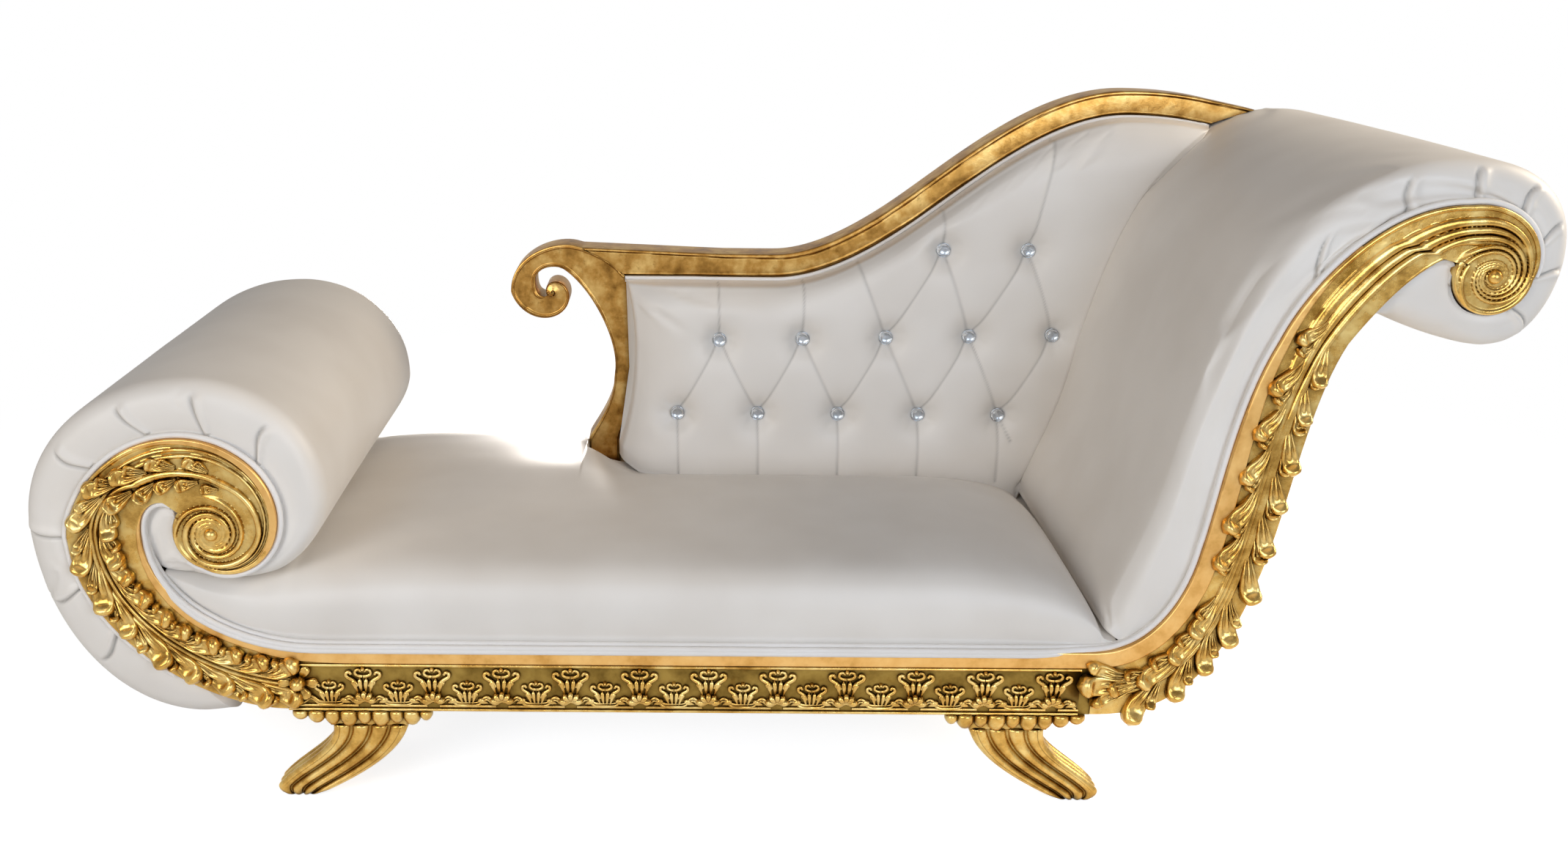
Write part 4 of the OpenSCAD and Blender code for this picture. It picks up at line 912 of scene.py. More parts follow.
def welted(name, line, cords, node):
    """Cords beside a line: distance to its left, Y (each constant or point by point) and radius."""
    paths = [in_plane(beside(line, np.reshape(off, (-1, 1))), y) for off, y, r in cords]
    shares = [np.full(len(line), r) for off, y, r in cords]
    enter(cord(name, paths, 1.0, welt, shares), welt, (node,))


seat_edge_ends = foot_cradle, at(foot_join, rail_top, head_join, rail_top).reshape(2, 2)
seat_edge = resampled(chain(foot_throat, *seat_edge_ends, head_front[:6]), 260)
edge_run = lengths(seat_edge)
lap = eased(edge_run, 60, 230) * (1 - eased(edge_run, edge_run[-1] - 150, edge_run[-1] - 10))
seat_edge[:, 1] -= 4.4 * lap
rim_cords = [(3.9, front_face + 4.5, 4.3), (3.4, pad_front - 1, 3.1)]
welted("seat_welt", seat_edge, [(3.9 - 4.3 * lap, front_face + 4.5 - 8.1 * lap, 4.3),
                                (3.9 + 0.9 * lap, front_face + 4.5 - 7 * lap, 4.2),
                                (3.4 + 4.6 * lap, pad_front - 1 - 5 * lap, 3.9)], "seat_piping")
welted("foot_roll_welt", resampled(chain(foot_belly[5:], foot_spiral(180, -132, 160)), 220),
       rim_cords, "foot_roll_piping")
welted("head_rest_welt", resampled(chain(head_front[5:], head_turn[::-1]), 200), rim_cords,
       "head_rest_piping")
welted("back_welt", resampled(rail_under, 200),
       [(-3.4, rear_inner - 3.4, 3.1), (-9.0, rear_inner + 0.1, 3.1)], "back_piping")

# Gilt scroll boards with their carving
strip_w = 17.0
field_h, strip_h = 2.0, 5.5


def between(outer, inner, n):
    """n rows of points from the inner line to the outer one, closer together at both edges."""
    t = np.linspace(0, 1, n)
    shares = 0.65 * t + 0.175 * (1 - np.cos(math.pi * t))
    return inner[:, None] + (outer - inner)[:, None] * shares[None, :, None]


def board(name, flat, lift, face, back):
    """A board over rows of points, with its face raised by the lift."""
    top = np.insert(flat, 1, face + (-lift if face < back else lift), -1)
    ends = np.stack([in_plane(flat[:, -1], back), in_plane(flat[:, 0], back)], 1)
    return loft(name, np.concatenate([top, ends], 1), 50)


def banded(flat, heights):
    """Lift of a band from heights(along, from the inner line, from the outer line)."""
    along = lengths(flat.mean(1))[:, None]
    return heights(along, np.linalg.norm(flat - flat[:, :1], axis=2),
                   np.linalg.norm(flat - flat[:, -1:], axis=2))


def edge_round(from_edge, size):
    """Lowers the last few millimetres before an edge."""
    return size * (dome(1 - np.clip(from_edge / size, 0, 1)) - 1)


def volute_heights(edge, rate, eye_rate, disc, last, reeds):
    """Relief of a volute: rounded reeds that wind in from its edge, closer together on the disc.

    A reed is (place inside the edge, half width, least half width in mm, height, share of the
    height kept outside the disc, share kept on it). Past the last angle the volute runs into its
    board.
    """
    radii = np.geomspace(0.5, 400, 800)
    rates = eye_rate + (rate - eye_rate) * eased(radii, disc * 0.75, disc * 1.1)
    steps = np.diff(np.log(radii)) / ((rates[1:] + rates[:-1]) / 2)
    turns = np.log(radii[-1]) / rate - np.append(np.cumsum(steps[::-1])[::-1], 0)

    def heights(a, r):
        inside = np.where(a > last, np.maximum(disc, edge(a)), disc + 13) - r
        behind = np.log(edge(a)) / rate - np.interp(r, radii, turns)
        slope = r * np.interp(r, radii, rates)
        outside = eased(r, disc * 0.85, disc * 1.1)
        lift = 2.2 * (1 - eased(inside, 5, 8))
        for place, half, least, height, outer, inner in reeds:
            place = place(a, outside) if callable(place) else place
            off = np.mod(behind - place / rate + 180, 360) - 180
            tall = height * np.clip(r / 45, 0.5, 1) * (inner + (outer - inner) * outside)
            lift = np.maximum(lift, tall * dome(off * slope / np.maximum(half * r, least)))
        return field_h + lift + edge_round(inside, 3)
    return heights


# Foot scroll: its band from the frieze to the volute, then the volute's crescent round its disc
foot_turn_start, foot_turn_end = 141.0, -108.0
foot_cusp_r = foot_edge(foot_turn_start)


def foot_stem(a, outside=1.0):
    """Place of the stem that runs on from the leaves and winds into the eye."""
    places = np.interp(a, (0, 30, 75, 107, 141), (0.29, 0.36, 0.48, 0.44, 0.345))
    return 0.29 + outside * (places - 0.29)


foot_volute = volute_heights(foot_edge, foot_rate, 0.0026, foot_disc, -208, [
    (0.11, 0.018, 1.2, 3.2, 1, 0), (0.19, 0.026, 1.4, 3.4, 1, 0),
    (foot_stem, 0.062, 4.6, 6.4, 1, 1), (0.29 + 122 * foot_rate, 0.03, 3.6, 5.6, 0, 1),
    (0.29 + 238 * foot_rate, 0.03, 3.6, 5.6, 0, 1)])
foot_out = chain(
    resampled(np.concatenate([[(foot_join, rail_low)], refined(foot_belly, 3)]), 150),
    foot_spiral(180, foot_turn_start, 40))
foot_in = chain(
    resampled(refined(foot_cradle, 3)[::-1], 150),
    resampled(chain(foot_throat[::-1], foot_eye + foot_disc * turned(at(149, 145, 141))), 40))


def carved(carving, reeded, late, from_seat, from_out):
    """A band's carving, which gives way to the volute's reeds and their own edges."""
    edges = edge_round(from_out, 3) + edge_round(from_seat, 2)
    return field_h + (carving + edges) * (1 - late) + (reeded - field_h) * late


def foot_heights(along, from_seat, from_out):
    """Stems in the middle of a shallow cove."""
    share = from_seat / np.maximum(from_seat + from_out, 0.001)
    middle = (from_seat - strip_w) / (from_seat + from_out - strip_w) - 0.5
    stems = 6.0 * sum(dome((middle - spot) / 0.043) for spot in (-0.085, 0.0, 0.085))
    cove = 1.2 * (2 * middle) ** 2
    reeded = foot_volute(np.full(share.shape, foot_turn_start),
                         foot_disc + (foot_cusp_r - foot_disc) * share)
    late = eased(along, along.max() * 0.78, along.max())
    return carved((stems + cove) * eased(along, 18, 60), reeded, late, from_seat, from_out)


def plain_heights(along, from_seat, from_out):
    return field_h + edge_round(from_out, 4) + edge_round(from_seat, 4)


# Head scroll, in the same two parts
head_polar = head_front - head_eye
head_front_a = np.degrees(np.arctan2(head_polar[:, 1], head_polar[:, 0])) % 360
head_front_r = np.linalg.norm(head_polar, axis=1)
head_cusp_a, head_turn_end = 156.6, -5.4


def head_edge(a):
    by_ray = np.interp(a, head_front_a[-24:][::-1], head_front_r[-24:][::-1])
    return np.where(a > crest_angle, by_ray, head_small * np.exp(head_rate * a))


head_cusp_r = float(head_edge(head_cusp_a))
head_spots = at(0.26, 0.43, 0.61, 0.61)


def head_split(a, outside):
    """Place of the inmost reed, which splits off from its neighbour past the cusp."""
    return 0.61 + 0.19 * eased(-a, -150, -108)


head_volute = volute_heights(head_edge, head_rate, 0.0029, head_disc, -196, [
    (0.26, 0.082, 2.1, 4.8, 1, 1), (0.43, 0.082, 2.1, 4.8, 1, 0), (0.61, 0.082, 2.1, 4.8, 1, 1),
    (head_split, 0.082, 2.1, 4.4, 1, 0), (0.26 + 130 * head_rate, 0.08, 2.2, 4.6, 0, 1),
    (0.26 + 196 * head_rate, 0.08, 2.2, 4.6, 0, 1)])
head_before = head_front[(head_front_a > head_cusp_a) | (head_front[:, 0] < 700)]
head_cut = head_eye + head_cusp_r * turned(head_cusp_a)
head_tail = head_eye + head_disc * turned(at(161, 156.6))
head_out, head_in = [
    chain(*[resampled(part, n) for part, n in zip(parts, (70, 90, 60))]) for parts in (
        (head_back[:22], head_back[21:42], np.concatenate([head_back[41:-1], head_tail])),
        (head_before[:21], head_before[20:37], np.concatenate([head_before[36:], [head_cut]])))]


def head_heights(along, from_seat, from_out):
    """Stems that fan out over the board and run into the volute's reeds."""
    total = along.max()
    share = from_seat / np.maximum(from_seat + from_out, 0.001)
    reeded = head_volute(np.full(share.shape, head_cusp_a),
                         head_cusp_r + (head_disc - head_cusp_r) * share)
    fan, late = eased(along, total * 0.5, total * 0.86), eased(along, total * 0.84, total * 0.97)
    strip = strip_w / np.maximum(from_seat + from_out, strip_w)
    stems, reach = 0, 1 - head_disc / head_cusp_r
    for k, spot in enumerate(np.exp(-head_spots)):
        start = strip + (0.395 + 0.07 * k) * (1 - strip)
        place = start + ((1 - spot) / reach - start) * fan
        half = 0.036 + (0.082 * spot / reach - 0.036) * fan
        stems = np.maximum(stems, dome((share - place) / half))
    rim = 2.2 * fan * (1 - eased(from_seat, 5, 8))
    lift = np.maximum(4.8 * stems * eased(along, 18, 60), rim)
    return carved(lift, reeded, late, from_seat, from_out)


def scroll(name, lines, eye, disc, edge, start, end, steps, heights, volute, face, back, node,
           material=gilt):
    """A scroll board in one piece: band, crescent from the cusp to where the edge meets the disc,
    and the disc round its eye."""
    band = between(*lines, 64)
    a = np.linspace(start, end, steps + 1)
    circle, rim = disc * turned(a), np.maximum(disc + 0.05, edge(a))[:, None] * turned(a)
    turn = eye + (between(circle, rim, 64) if edge is head_edge else between(rim, circle, 64))
    lift = np.concatenate([banded(band, heights)[:-1],
                           volute(a[:, None], np.linalg.norm(turn - eye, axis=2))])
    body = board(name + "_body", np.concatenate([band[:-1], turn]), lift, face, back)
    angles = start - np.arange(360.0)[None]
    rings = np.concatenate([np.linspace(0.8, disc - 4, 44), disc - at(2.6, 1.4, 0.5, 0)])[:, None]
    flat = eye + rings[..., None] * turned(angles)
    lift = volute(angles, rings + 0 * angles)
    net = np.concatenate([np.insert(flat, 1, face + (-lift if face < back else lift), -1),
                          [in_plane(flat[-1], back), in_plane(flat[0], back)]])
    obj = joined(name, [body, loft(name + "_disc", net, 50)])
    return enter(obj, material, (node,))


foot_parts = (
    (foot_out, foot_in), foot_eye, foot_disc, foot_edge, foot_turn_start, foot_turn_end, 249)
head_parts = (head_out, head_in), head_eye, head_disc, head_edge, head_cusp_a, head_turn_end, 162
front, rear = (front_face, front_inner), (rear_face - 2, rear_inner)
scroll("foot_scroll_carving", *foot_parts, foot_heights, foot_volute, *front, "front_foot_scroll")
scroll("head_scroll_carving", *head_parts, head_heights, head_volute, *front, "front_head_scroll")
scroll("rear_foot_board", *foot_parts, plain_heights, foot_volute, *rear, "rear_foot_scroll")
scroll("rear_head_board", *head_parts, plain_heights, head_volute, *rear, "rear_head_scroll")

# The smooth gilt band: along the seat's edge from the foot hollow to the head scroll, and again
# round the outside of the foot volute


def rounded_bar(name, x0, x1, y0, y1, z0, z1, r):
    """A bar along X with its long edges rounded."""
    a = np.radians([corner + t for corner in (180, 270, 360, 450) for t in (0, 30, 60, 90)])
    y = np.repeat([y0 + r, y1 - r, y1 - r, y0 + r], 4) + r * np.cos(a)
    z = np.repeat([z0 + r, z0 + r, z1 - r, z1 - r], 4) + r * np.sin(a)
    return loft(name, np.array([np.stack([0 * y + x, y, z], 1) for x in np.linspace(x0, x1, 24)]))


def smooth_band(name, path, width):
    """A flat moulding with soft edges along a path, as wide as the widths say."""
    edge = path + (beside(path, -1) - path) * width[:, None]
    flat = between(edge, beside(path, 0.6), 14)

    def heights(along, from_seat, from_out):
        ends = eased(along, 0, 60) * (1 - eased(along, along.max() - 120, along.max()))
        edges = edge_round(from_out, 1.8) + edge_round(from_seat, 1.8)
        return strip_h * (0.35 + 0.65 * ends) + edges
    return board(name, flat, banded(flat, heights), front_face, front_face + 10)


band_low = rail_top - strip_w - 8
seat_path = resampled(chain(foot_throat[6:], *seat_edge_ends, head_front[1:50]), 460)
seat_run = lengths(seat_path)
seat_width = (strip_w + 8 * eased(seat_run, 230, 420)) * eased(seat_run, -40, 230)
seat_width *= 1 - 0.75 * eased(seat_run, seat_run[-1] - 420, seat_run[-1])
rim_path = foot_spiral(180, -75, 200)[32:]
rim_width = 0.6 + 9.5 * np.sin(np.pi * np.linspace(0, 1, len(rim_path))) ** 0.6
bands = [smooth_band("seat_band", seat_path, seat_width),
         smooth_band("volute_band", rim_path, rim_width)]
enter(joined("gilt_band", bands), gilt_smooth)

# Frieze on the rail's front: bead lines, palmettes on bosses, and a garland between them
palmette_n, palmette_pitch = 11, 99.0
tall_x = -576.0 + palmette_pitch * np.arange(palmette_n)
frieze_ends = (-686.0, 452.0)
frieze_face = front_face - field_h - 0.8


def line_x(x0, x1, z, lift):
    """A straight line of points in front of the frieze's ground."""
    x = np.linspace(x0, x1, max(2, int(abs(x1 - x0) / 6)))
    return np.stack([x, 0 * x + frieze_face - lift, 0 * x + z], 1)


enter(rounded_bar("frieze_ground", *frieze_ends, frieze_face, front_face + 2, rail_low + 1,
                  band_low + 1, 0.8), gilt_ground)
gilded(cord("frieze_top_line", [line_x(*frieze_ends, band_low - 2.4, 0.6)], 2.6, gilt),
       "frieze_top_bead")
second_ends = np.append(frieze_ends, [x + side for x in tall_x for side in (-9, 9)])
second_lines = [line_x(a, b, 158.6, 0.4) for a, b in np.sort(second_ends).reshape(-1, 2)]
gilded(cord("frieze_bottom_lines", [line_x(*frieze_ends, 152.4, 0.6)] + second_lines, 2.4, gilt),
       "frieze_bottom_beads")


def relief(name, x, y, z):
    """A carving that lies on its back: rows of points, closed 1 mm below its plane."""
    upper = np.stack([x, y, z], -1)
    low = upper[:, ::1 - x.shape[1]] * [1, 1, 0] - [0, 0, 1]
    return loft(name, np.concatenate([upper, low], 1))


def petal(name, length, width, height, tip=0.8, hollow=0.45, bend=0.0, rows=9, columns=8):
    """One lobe along +X: narrow stem, round curled tip, hollow middle."""
    t, q = np.linspace(0, 1, rows)[:, None], np.linspace(-1, 1, columns)[None, :]
    ends = dome(np.maximum(t - tip, 0) / (1 - tip))
    half = np.maximum(width / 2 * (0.3 + 0.7 * eased(t, 0, tip)) * ends, 0.4)
    lift = height * (0.35 + 0.65 * eased(t, 0.05, tip)) * (0.55 + 0.45 * ends)
    top = lift * ((1 - hollow) + hollow * np.abs(q) ** 1.6) * dome(q**4)
    return relief(name, length * t + 0 * q, half * q + bend * (length * t / 60) ** 2, top)


def placed(obj, x=0.0, y=0.0, turn=0.0):
    """Moves a shape that lies on its back in its own plane."""
    obj.data.transform(Matrix.Translation((x * MM, y * MM, 0))
                       @ Matrix.Rotation(math.radians(turn), 4, "Z"))
    return obj


def knob(name, r, height, rows=6, columns=10):
    """A half-buried round boss."""
    a = np.linspace(0, math.pi / 2, rows)[:, None]
    b = np.linspace(0, 2 * math.pi, columns, endpoint=False)[None, :]
    flat = r * np.cos(a)
    flat[-1] = 0
    net = np.stack([flat * np.cos(b), flat * np.sin(b), height * np.sin(a) + 0 * b], -1)
    return loft(name, np.concatenate([net[:1] * [1, 1, 0] - [0, 0, 1], net]))


def curled(name, path, radius):
    """A small round scroll in the plane, from points (X, Y), that tapers towards its end."""
    line = refined(np.array(path, float), 4)
    lifted = np.stack([line[:, 0], line[:, 1], np.full(len(line), radius * 0.9)], 1)
    return cord(name, [lifted], radius, gilt, [np.linspace(1.0, 0.62, len(line))], 7)


side_curl = [(8, 12), (13, 19.5), (18.5, 24), (23.6, 28), (24, 33.4), (19.6, 35.4), (17, 31.6)]
heart_curl = [(0.6, 28), (6, 28.6), (11, 32), (10.6, 37.4), (6, 39.6), (2.6, 36.4)]


def palmette(name, height, width):
    """A fluted cup with scrolls that curl over at its sides and a heart over its mouth."""
    k = height / 42
    wide = width / 44.1
    parts = [placed(petal("flute", 31 * k, 8.4 * k, 9.0 * k, 0.72, 0.0, 0, 8, 7), off * k, -5 * k,
                    90 - 1.7 * off) for off in (-8.4, -2.8, 2.8, 8.4)]
    for side in (-1, 1):
        parts += [curled("curl", [(side * x * wide, y * k) for x, y in path], radius * k)
                  for path, radius in ((side_curl, 4.2), (heart_curl, 3.4))]
        parts.append(placed(petal("lobe", 16 * k, 9 * k, 7.0 * k, 0.6, 0.1, 0, 6, 6), side * 9 * k,
                            8 * k, 90 - side * 40))
    parts.append(placed(knob("bud", 4.2 * k, 8.4 * k), 0, height * 0.96))
    return joined(name, parts)


def shell_boss(name, width, height):
    """A half shell of five ribs."""
    return joined(name, [placed(petal("rib", height, width * 0.3, 10.5, 0.6, 0.05, 0, 6, 6), 0,
                                height * 0.1, 90 + a) for a in (-74, -38, 0, 38, 74)])


def strewn_on_face(name, shape, spots, turns=None, sizes=None, y=frieze_face + 0.4):
    """Copies of a gilt shape that stand out of the carved front at (X, Z), turned in degrees."""
    turns = np.zeros(len(spots)) if turns is None else np.radians(turns)
    euler = [(math.pi / 2, -turn, 0) for turn in turns]
    return strewn(name, shape, in_plane(np.asarray(spots, float), y), gilt, euler, sizes)


ornament = [
    strewn_on_face(name, shape, [(x + aside, z) for x in tall_x]) for name, shape, aside, z in (
        ("tall_palmettes", palmette("tall_shape", 38, 44), 0, 181),
        ("short_palmettes", palmette("short_shape", 33, 36), -palmette_pitch / 2, 165),
        ("palmette_bosses", shell_boss("boss_shape", 34, 18), 0, 164))]
gilded(joined("frieze_ornament", ornament), "frieze_palmettes")

garland_x = np.linspace(frieze_ends[0] + 6, frieze_ends[1] - 4, 900)
off_axis = np.mod(garland_x - tall_x[0] + palmette_pitch / 2, palmette_pitch) - palmette_pitch / 2
phase = 2 * math.pi * off_axis / palmette_pitch
garland_z = 160 + 9.5 * ridge(np.abs(off_axis), 22, 9) + 8 * ridge(off_axis, 0, 8)
garland_lines = [in_plane(np.stack([garland_x, garland_z + up], 1), frieze_face - 1.4)
                 for up in (0, 4.2)]
garland = cord("garland_ribbon", garland_lines, 2.7, gilt,
               [0.85 + 0.3 * np.cos(2 * phase + 0.6), 0.62 + 0.3 * np.cos(2 * phase + 2.4)])
curls = strewn_on_face("garland_curls", petal("curl_shape", 17, 9, 7.5, 0.6, 0.3, 6, 6, 6),
                       [(x + side * palmette_pitch * 0.2, 163) for x in tall_x for side in (-1, 1)],
                       [152, 28] * palmette_n)
gilded(joined("frieze_garland_carving", [garland, curls]), "frieze_garland")

# Acanthus: leaves in pairs along each scroll, their curled tips towards the frieze


def leaf(name, length, width, height, curl, bend=0.0):
    """One carved leaf along +X: a fluted stem that opens to a spoon and rolls over at its tip."""
    t, q = np.linspace(0, 1, 18)[:, None], np.linspace(-1, 1, 16)[None, :]
    ends = dome(np.maximum(t - 0.8, 0) / 0.2)
    half = np.maximum(width / 2 * (0.36 + 0.64 * eased(t, 0, 0.66)) * ends, 0.5)
    fluted = 1 - eased(t, 0.5, 0.7)
    across = (1 - 0.22 * fluted * (1 - np.cos(3 * np.pi * q))) * dome(q * q)
    spoon = 0.42 * height * eased(t, 0.45, 0.66) * (1 - eased(t, 0.72, 0.84))
    body = height * (0.35 + 0.65 * eased(t, 0, 0.5)) * (0.5 + 0.5 * ends) * across
    tip = curl * ridge(t, 0.86, 0.08) * (1 - 0.6 * q * q)
    slope = bend * length * t / 1800
    out = half * q / np.sqrt(1 + slope**2)
    return relief(name, length * t - slope * out, bend * (length * t / 60) ** 2 + out,
                  body - spoon * np.clip(1 - 1.5 * q * q, 0, 1) + tip)


def spray(name, length, width, height, curl, bend, side):
    """A leaf with a smaller finger that peels off its back, to one side."""
    finger = leaf("short", length * 0.6, width * 0.56, height * 0.9, curl * 0.8, bend * 1.4)
    return joined(name, [leaf("long", length, width, height, curl, bend),
                         placed(finger, 0, 3.0 * side, 13 * side)])


def along_spine(spine, steps, side, tilt, spread, sizes):
    """Spots, turns and sizes of leaves that grow back along a spine, to one side of it."""
    along = lengths(spine)
    spots, turns = [], []
    for step in steps:
        k = int(np.clip(np.searchsorted(along, step), 1, len(spine) - 2))
        way = spine[k - 1] - spine[k + 1]
        spots.append(spine[k] + at(-way[1], way[0]) / np.linalg.norm(way) * side * spread)
        turns.append(math.degrees(math.atan2(way[1], way[0])) + side * tilt)
    count = np.arange(len(steps))
    size = np.interp(count, np.linspace(0, len(steps) - 1, len(sizes)), sizes)
    size *= 1 + 0.07 * np.sin(count * 2.4 + side)
    return spots, turns, np.stack([size] * 3, 1)


def leafage(name, spine, rows, *nodes):
    """Rows of leaves on a scroll: (shape, first step, pitch, end, side, tilt, spread, sizes)."""
    groups = []
    for k, (shape, first, pitch, end, *rest) in enumerate(rows):
        leaves = along_spine(spine, np.arange(first, end, pitch), *rest)
        groups.append(strewn_on_face(f"{name}_row_{k}", shape, *leaves, front_face - field_h + 0.6))
    return gilded(joined(name, groups), *nodes)


def spine_between(outer, inner):
    """The line midway between the edge strip and the outer edge."""
    width = np.linalg.norm(outer - inner, axis=1)
    return inner + (outer - inner) * ((strip_w + (width - strip_w) / 2) / width)[:, None]


crest_a = np.linspace(foot_turn_start, 40, 50)
foot_crest = (foot_edge(crest_a) * np.exp(-foot_stem(crest_a)))[:, None] * turned(crest_a)
foot_spine = chain(spine_between(foot_out, foot_in), foot_eye + foot_crest)
foot_end = lengths(foot_spine)[-1]
leafage("foot_acanthus", foot_spine, [
    (spray("long_shape", 82, 33, 12, 10, -2, -1), 92, 47, foot_end - 215, -1, 6, 7,
     (1.0, 1.05, 0.88)),
    (spray("pod_shape", 58, 28, 12, 9, 24, 1), 88, 42, foot_end - 200, 1, 12, 8, (1.0, 0.95)),
    (spray("crest_shape", 54, 26, 11, 9, -3, -1), foot_end - 190, 40, foot_end - 50, -1, 10, 7,
     (1.05, 0.7)),
    (leaf("bead_shape", 36, 23, 11, 10, 12), foot_end - 176, 32, foot_end - 44, 1, 18, 10,
     (1.15, 0.7))],
    "foot_scroll_leaves", "foot_volute_bead")
head_spine = spine_between(head_out, head_in)
head_end = lengths(head_spine)[-1]
low_end, pod_start, pod_end, tuck_end = head_end * at(0.34, 0.39, 0.82, 0.78)
leafage("head_acanthus", head_spine, [
    (spray("low_left_shape", 76, 30, 12, 10, 17, 1), 96, 48, low_end, 1, 8, 7, (1.0, 0.9)),
    (spray("low_right_shape", 78, 30, 12, 10, -2, -1), 92, 48, low_end, -1, 6, 7, (1.0, 0.9)),
    *[(leaf(name, *size, side * bend), pod_start + late, 62, end, side, tilt, out, (1.0, 0.8))
      for name, size, bend, side, late, end, tilt, out in (
          ("pod_left_shape", (74, 28, 12, 11), 12, 1, 0, pod_end, 9, 8),
          ("pod_right_shape", (74, 28, 12, 11), 12, -1, 31, pod_end, 9, 8),
          ("tuck_left_shape", (40, 21, 11, 9), 14, 1, 24, tuck_end, 16, 10),
          ("tuck_right_shape", (40, 21, 11, 9), 14, -1, -6, tuck_end, 16, 10))]],
    "head_scroll_leaves", "head_volute_bead")

# Volute eyes, a bud at the frieze's foot end and a sheaf of leaves at its head end
sepals = [placed(petal("sepal", 20, 13, 8, 0.7, 0.3, 0, 8, 8), 3 * math.cos(a), 3 * math.sin(a),
                 math.degrees(a)) for a in np.arange(6) * math.pi / 3]
bud = joined("bud_shape", sepals + [knob("ball", 9.5, 17, 7, 16)])
buds = strewn_on_face("frieze_buds", bud, [(frieze_ends[0] + 16, 195)], sizes=[(1.3, 1.3, 1.1)])
end_pod = joined("end_pod_shape", [
    leaf("middle", 90, 36, 14, 10), placed(leaf("up", 74, 22, 11, 8, -9), 6, -9, -9),
    placed(leaf("down", 70, 20, 11, 8, 9), 4, 9, 9)])
end_pods = strewn_on_face("frieze_end_pods", end_pod, [(frieze_ends[1] + 84, 205)], [184])
eyes = strewn_on_face("volute_eye_balls", knob("eye", 10.5, 12, 8, 24), [foot_eye, head_eye],
                      y=front_face)
gilded(joined("volute_eyes", [eyes, buds, end_pods]))

# Legs: sabre legs with reeds that run down to the toes
leg_top, leg_d, leg_rows = 122.0, 58.0, 46
leg_outer = drawn(bends((54, leg_top), (-6, -44), ((-31, 39), (143, 17), (1, -9)),
                        ((9, 2), (131, 0))), 30, 4)
leg_inner = curve((84, 0), (32, 26), (-45, 70), (-57, leg_top), 34)[::-1]


def reeded_loop():
    """Shares round a leg's section, with the depth of its reeds: (across, deep, groove)."""
    sides = []
    for x, y, way_x, way_y, n in (
            (0, 0, 1, 0, 4), (1, 0, 0, 1, 3), (1, 1, -1, 0, 4), (0, 1, 0, -1, 3)):
        t = np.arange(12 * n) / (12 * n)
        sides.append([x + way_x * t, y + way_y * t, 1 - abs(np.sin(np.pi * t * n)) ** 0.7])
    return np.concatenate(sides, 1)


def leg_net():
    """Loops of a leg from its top to its toe, which is drawn in and rounded."""
    across, through, reed = reeded_loop()
    t = np.arange(leg_rows + 1)[:, None] / leg_rows
    toe = dome(np.maximum(t - 0.86, 0) / 0.14)
    left, right = resampled(leg_inner, leg_rows), resampled(leg_outer, leg_rows)
    span = (right - left) * (0.72 + 0.28 * toe)
    size = np.linalg.norm(span, axis=1)[:, None]
    corner = 7 * np.abs((2 * across - 1) * (2 * through - 1)) ** 6
    groove = reed * 8.5 * (0.35 + 0.65 * toe) + corner
    out = (2 * across - 1) * (size / 2 - groove * (np.abs(across - 0.5) > 0.49))
    flat = ((left + right) / 2)[:, None] + (span / size)[:, None] * out[..., None]
    deep = (through - 0.5) * leg_d * (0.8 + 0.2 * eased(1 - t, 0, 0.9)) * (0.62 + 0.38 * toe)
    deep = deep - np.sign(deep) * groove * (np.abs(through - 0.5) > 0.49)
    return np.stack([flat[..., 0], deep, np.maximum(flat[..., 1], 0)], -1)


def gadroon(name):
    """A hanging lobe, 1 mm high: full and round below, drawn in towards the moulding above it."""
    t = np.linspace(0, 1, 9)[:, None]
    a = np.linspace(0, 2 * math.pi, 12, endpoint=False)[None, :]
    half = 0.5 * np.sin(np.pi * (0.3 + 0.7 * t)) ** 0.55 * np.where(t > 0.98, 0.15, 1)
    return loft(name, np.stack([half * np.cos(a), half * np.sin(a), -t + 0 * a], -1))


collar_foot, collar_head = 93, 108
lobe_widths = at(17, 24, 20, 26, 21, 25, 22, 24, 22)
lobe_widths *= (collar_foot + collar_head) / lobe_widths.sum()
lobe_drops = at(0.62, 0.9, 0.8, 1.0, 0.86, 1.0, 0.9, 0.8, 0.6)


def collar(name, x, way, y, node):
    """A thin moulding with a row of uneven lobes on each long side."""
    low = x - collar_foot * way
    left, right = sorted((low, x + collar_head * way))
    plate = rounded_bar("collar_plate", left + 3, right - 3, y - 30, y + 30, rail_low - 5,
                        rail_low - 0.2, 2)
    core = rounded_bar("collar_core", x - 56, x + 56, y - 25, y + 25, leg_top - 2, rail_low - 3, 5)
    centres = low + way * (np.cumsum(lobe_widths) - lobe_widths / 2)
    spots = [(centre, y + side * 25, rail_low - 0.5) for side in (-1, 1) for centre in centres]
    sizes = [(width * 1.16, 27, 29 * drop) for width, drop in zip(lobe_widths, lobe_drops)] * 2
    spots += [(end, y + deep, rail_low - 2.5) for deep in (-9, 9)
              for end in (left + 13, right - 13)]
    sizes += [(22, 22, 15)] * 4
    lobes = strewn("collar_lobes", gadroon("lobe_shape"), spots, gilt, None, sizes)
    return gilded(joined(name, [plate, core, lobes]), node)


leg_shape = leg_net()
for side, y in (("front", -328.0), ("rear", 336.0)):
    for end, x, way in (("foot", -574.0, -1), ("head", 356.0, 1)):
        corner = f"{side}_{end}"
        enter(loft(corner + "_sabre_leg", leg_shape * [way, 1, 1] + [x, y, 0]), gilt,
              (corner + "_leg",))
        collar(corner + "_gadroon_collar", x, way, y, corner + "_collar")

# Back rail and arm scroll: leafed faces with a raised line along each edge
back_rail_w = 40.0
arm_shoulder = at(arm_x - 64, back_low_z + 50)


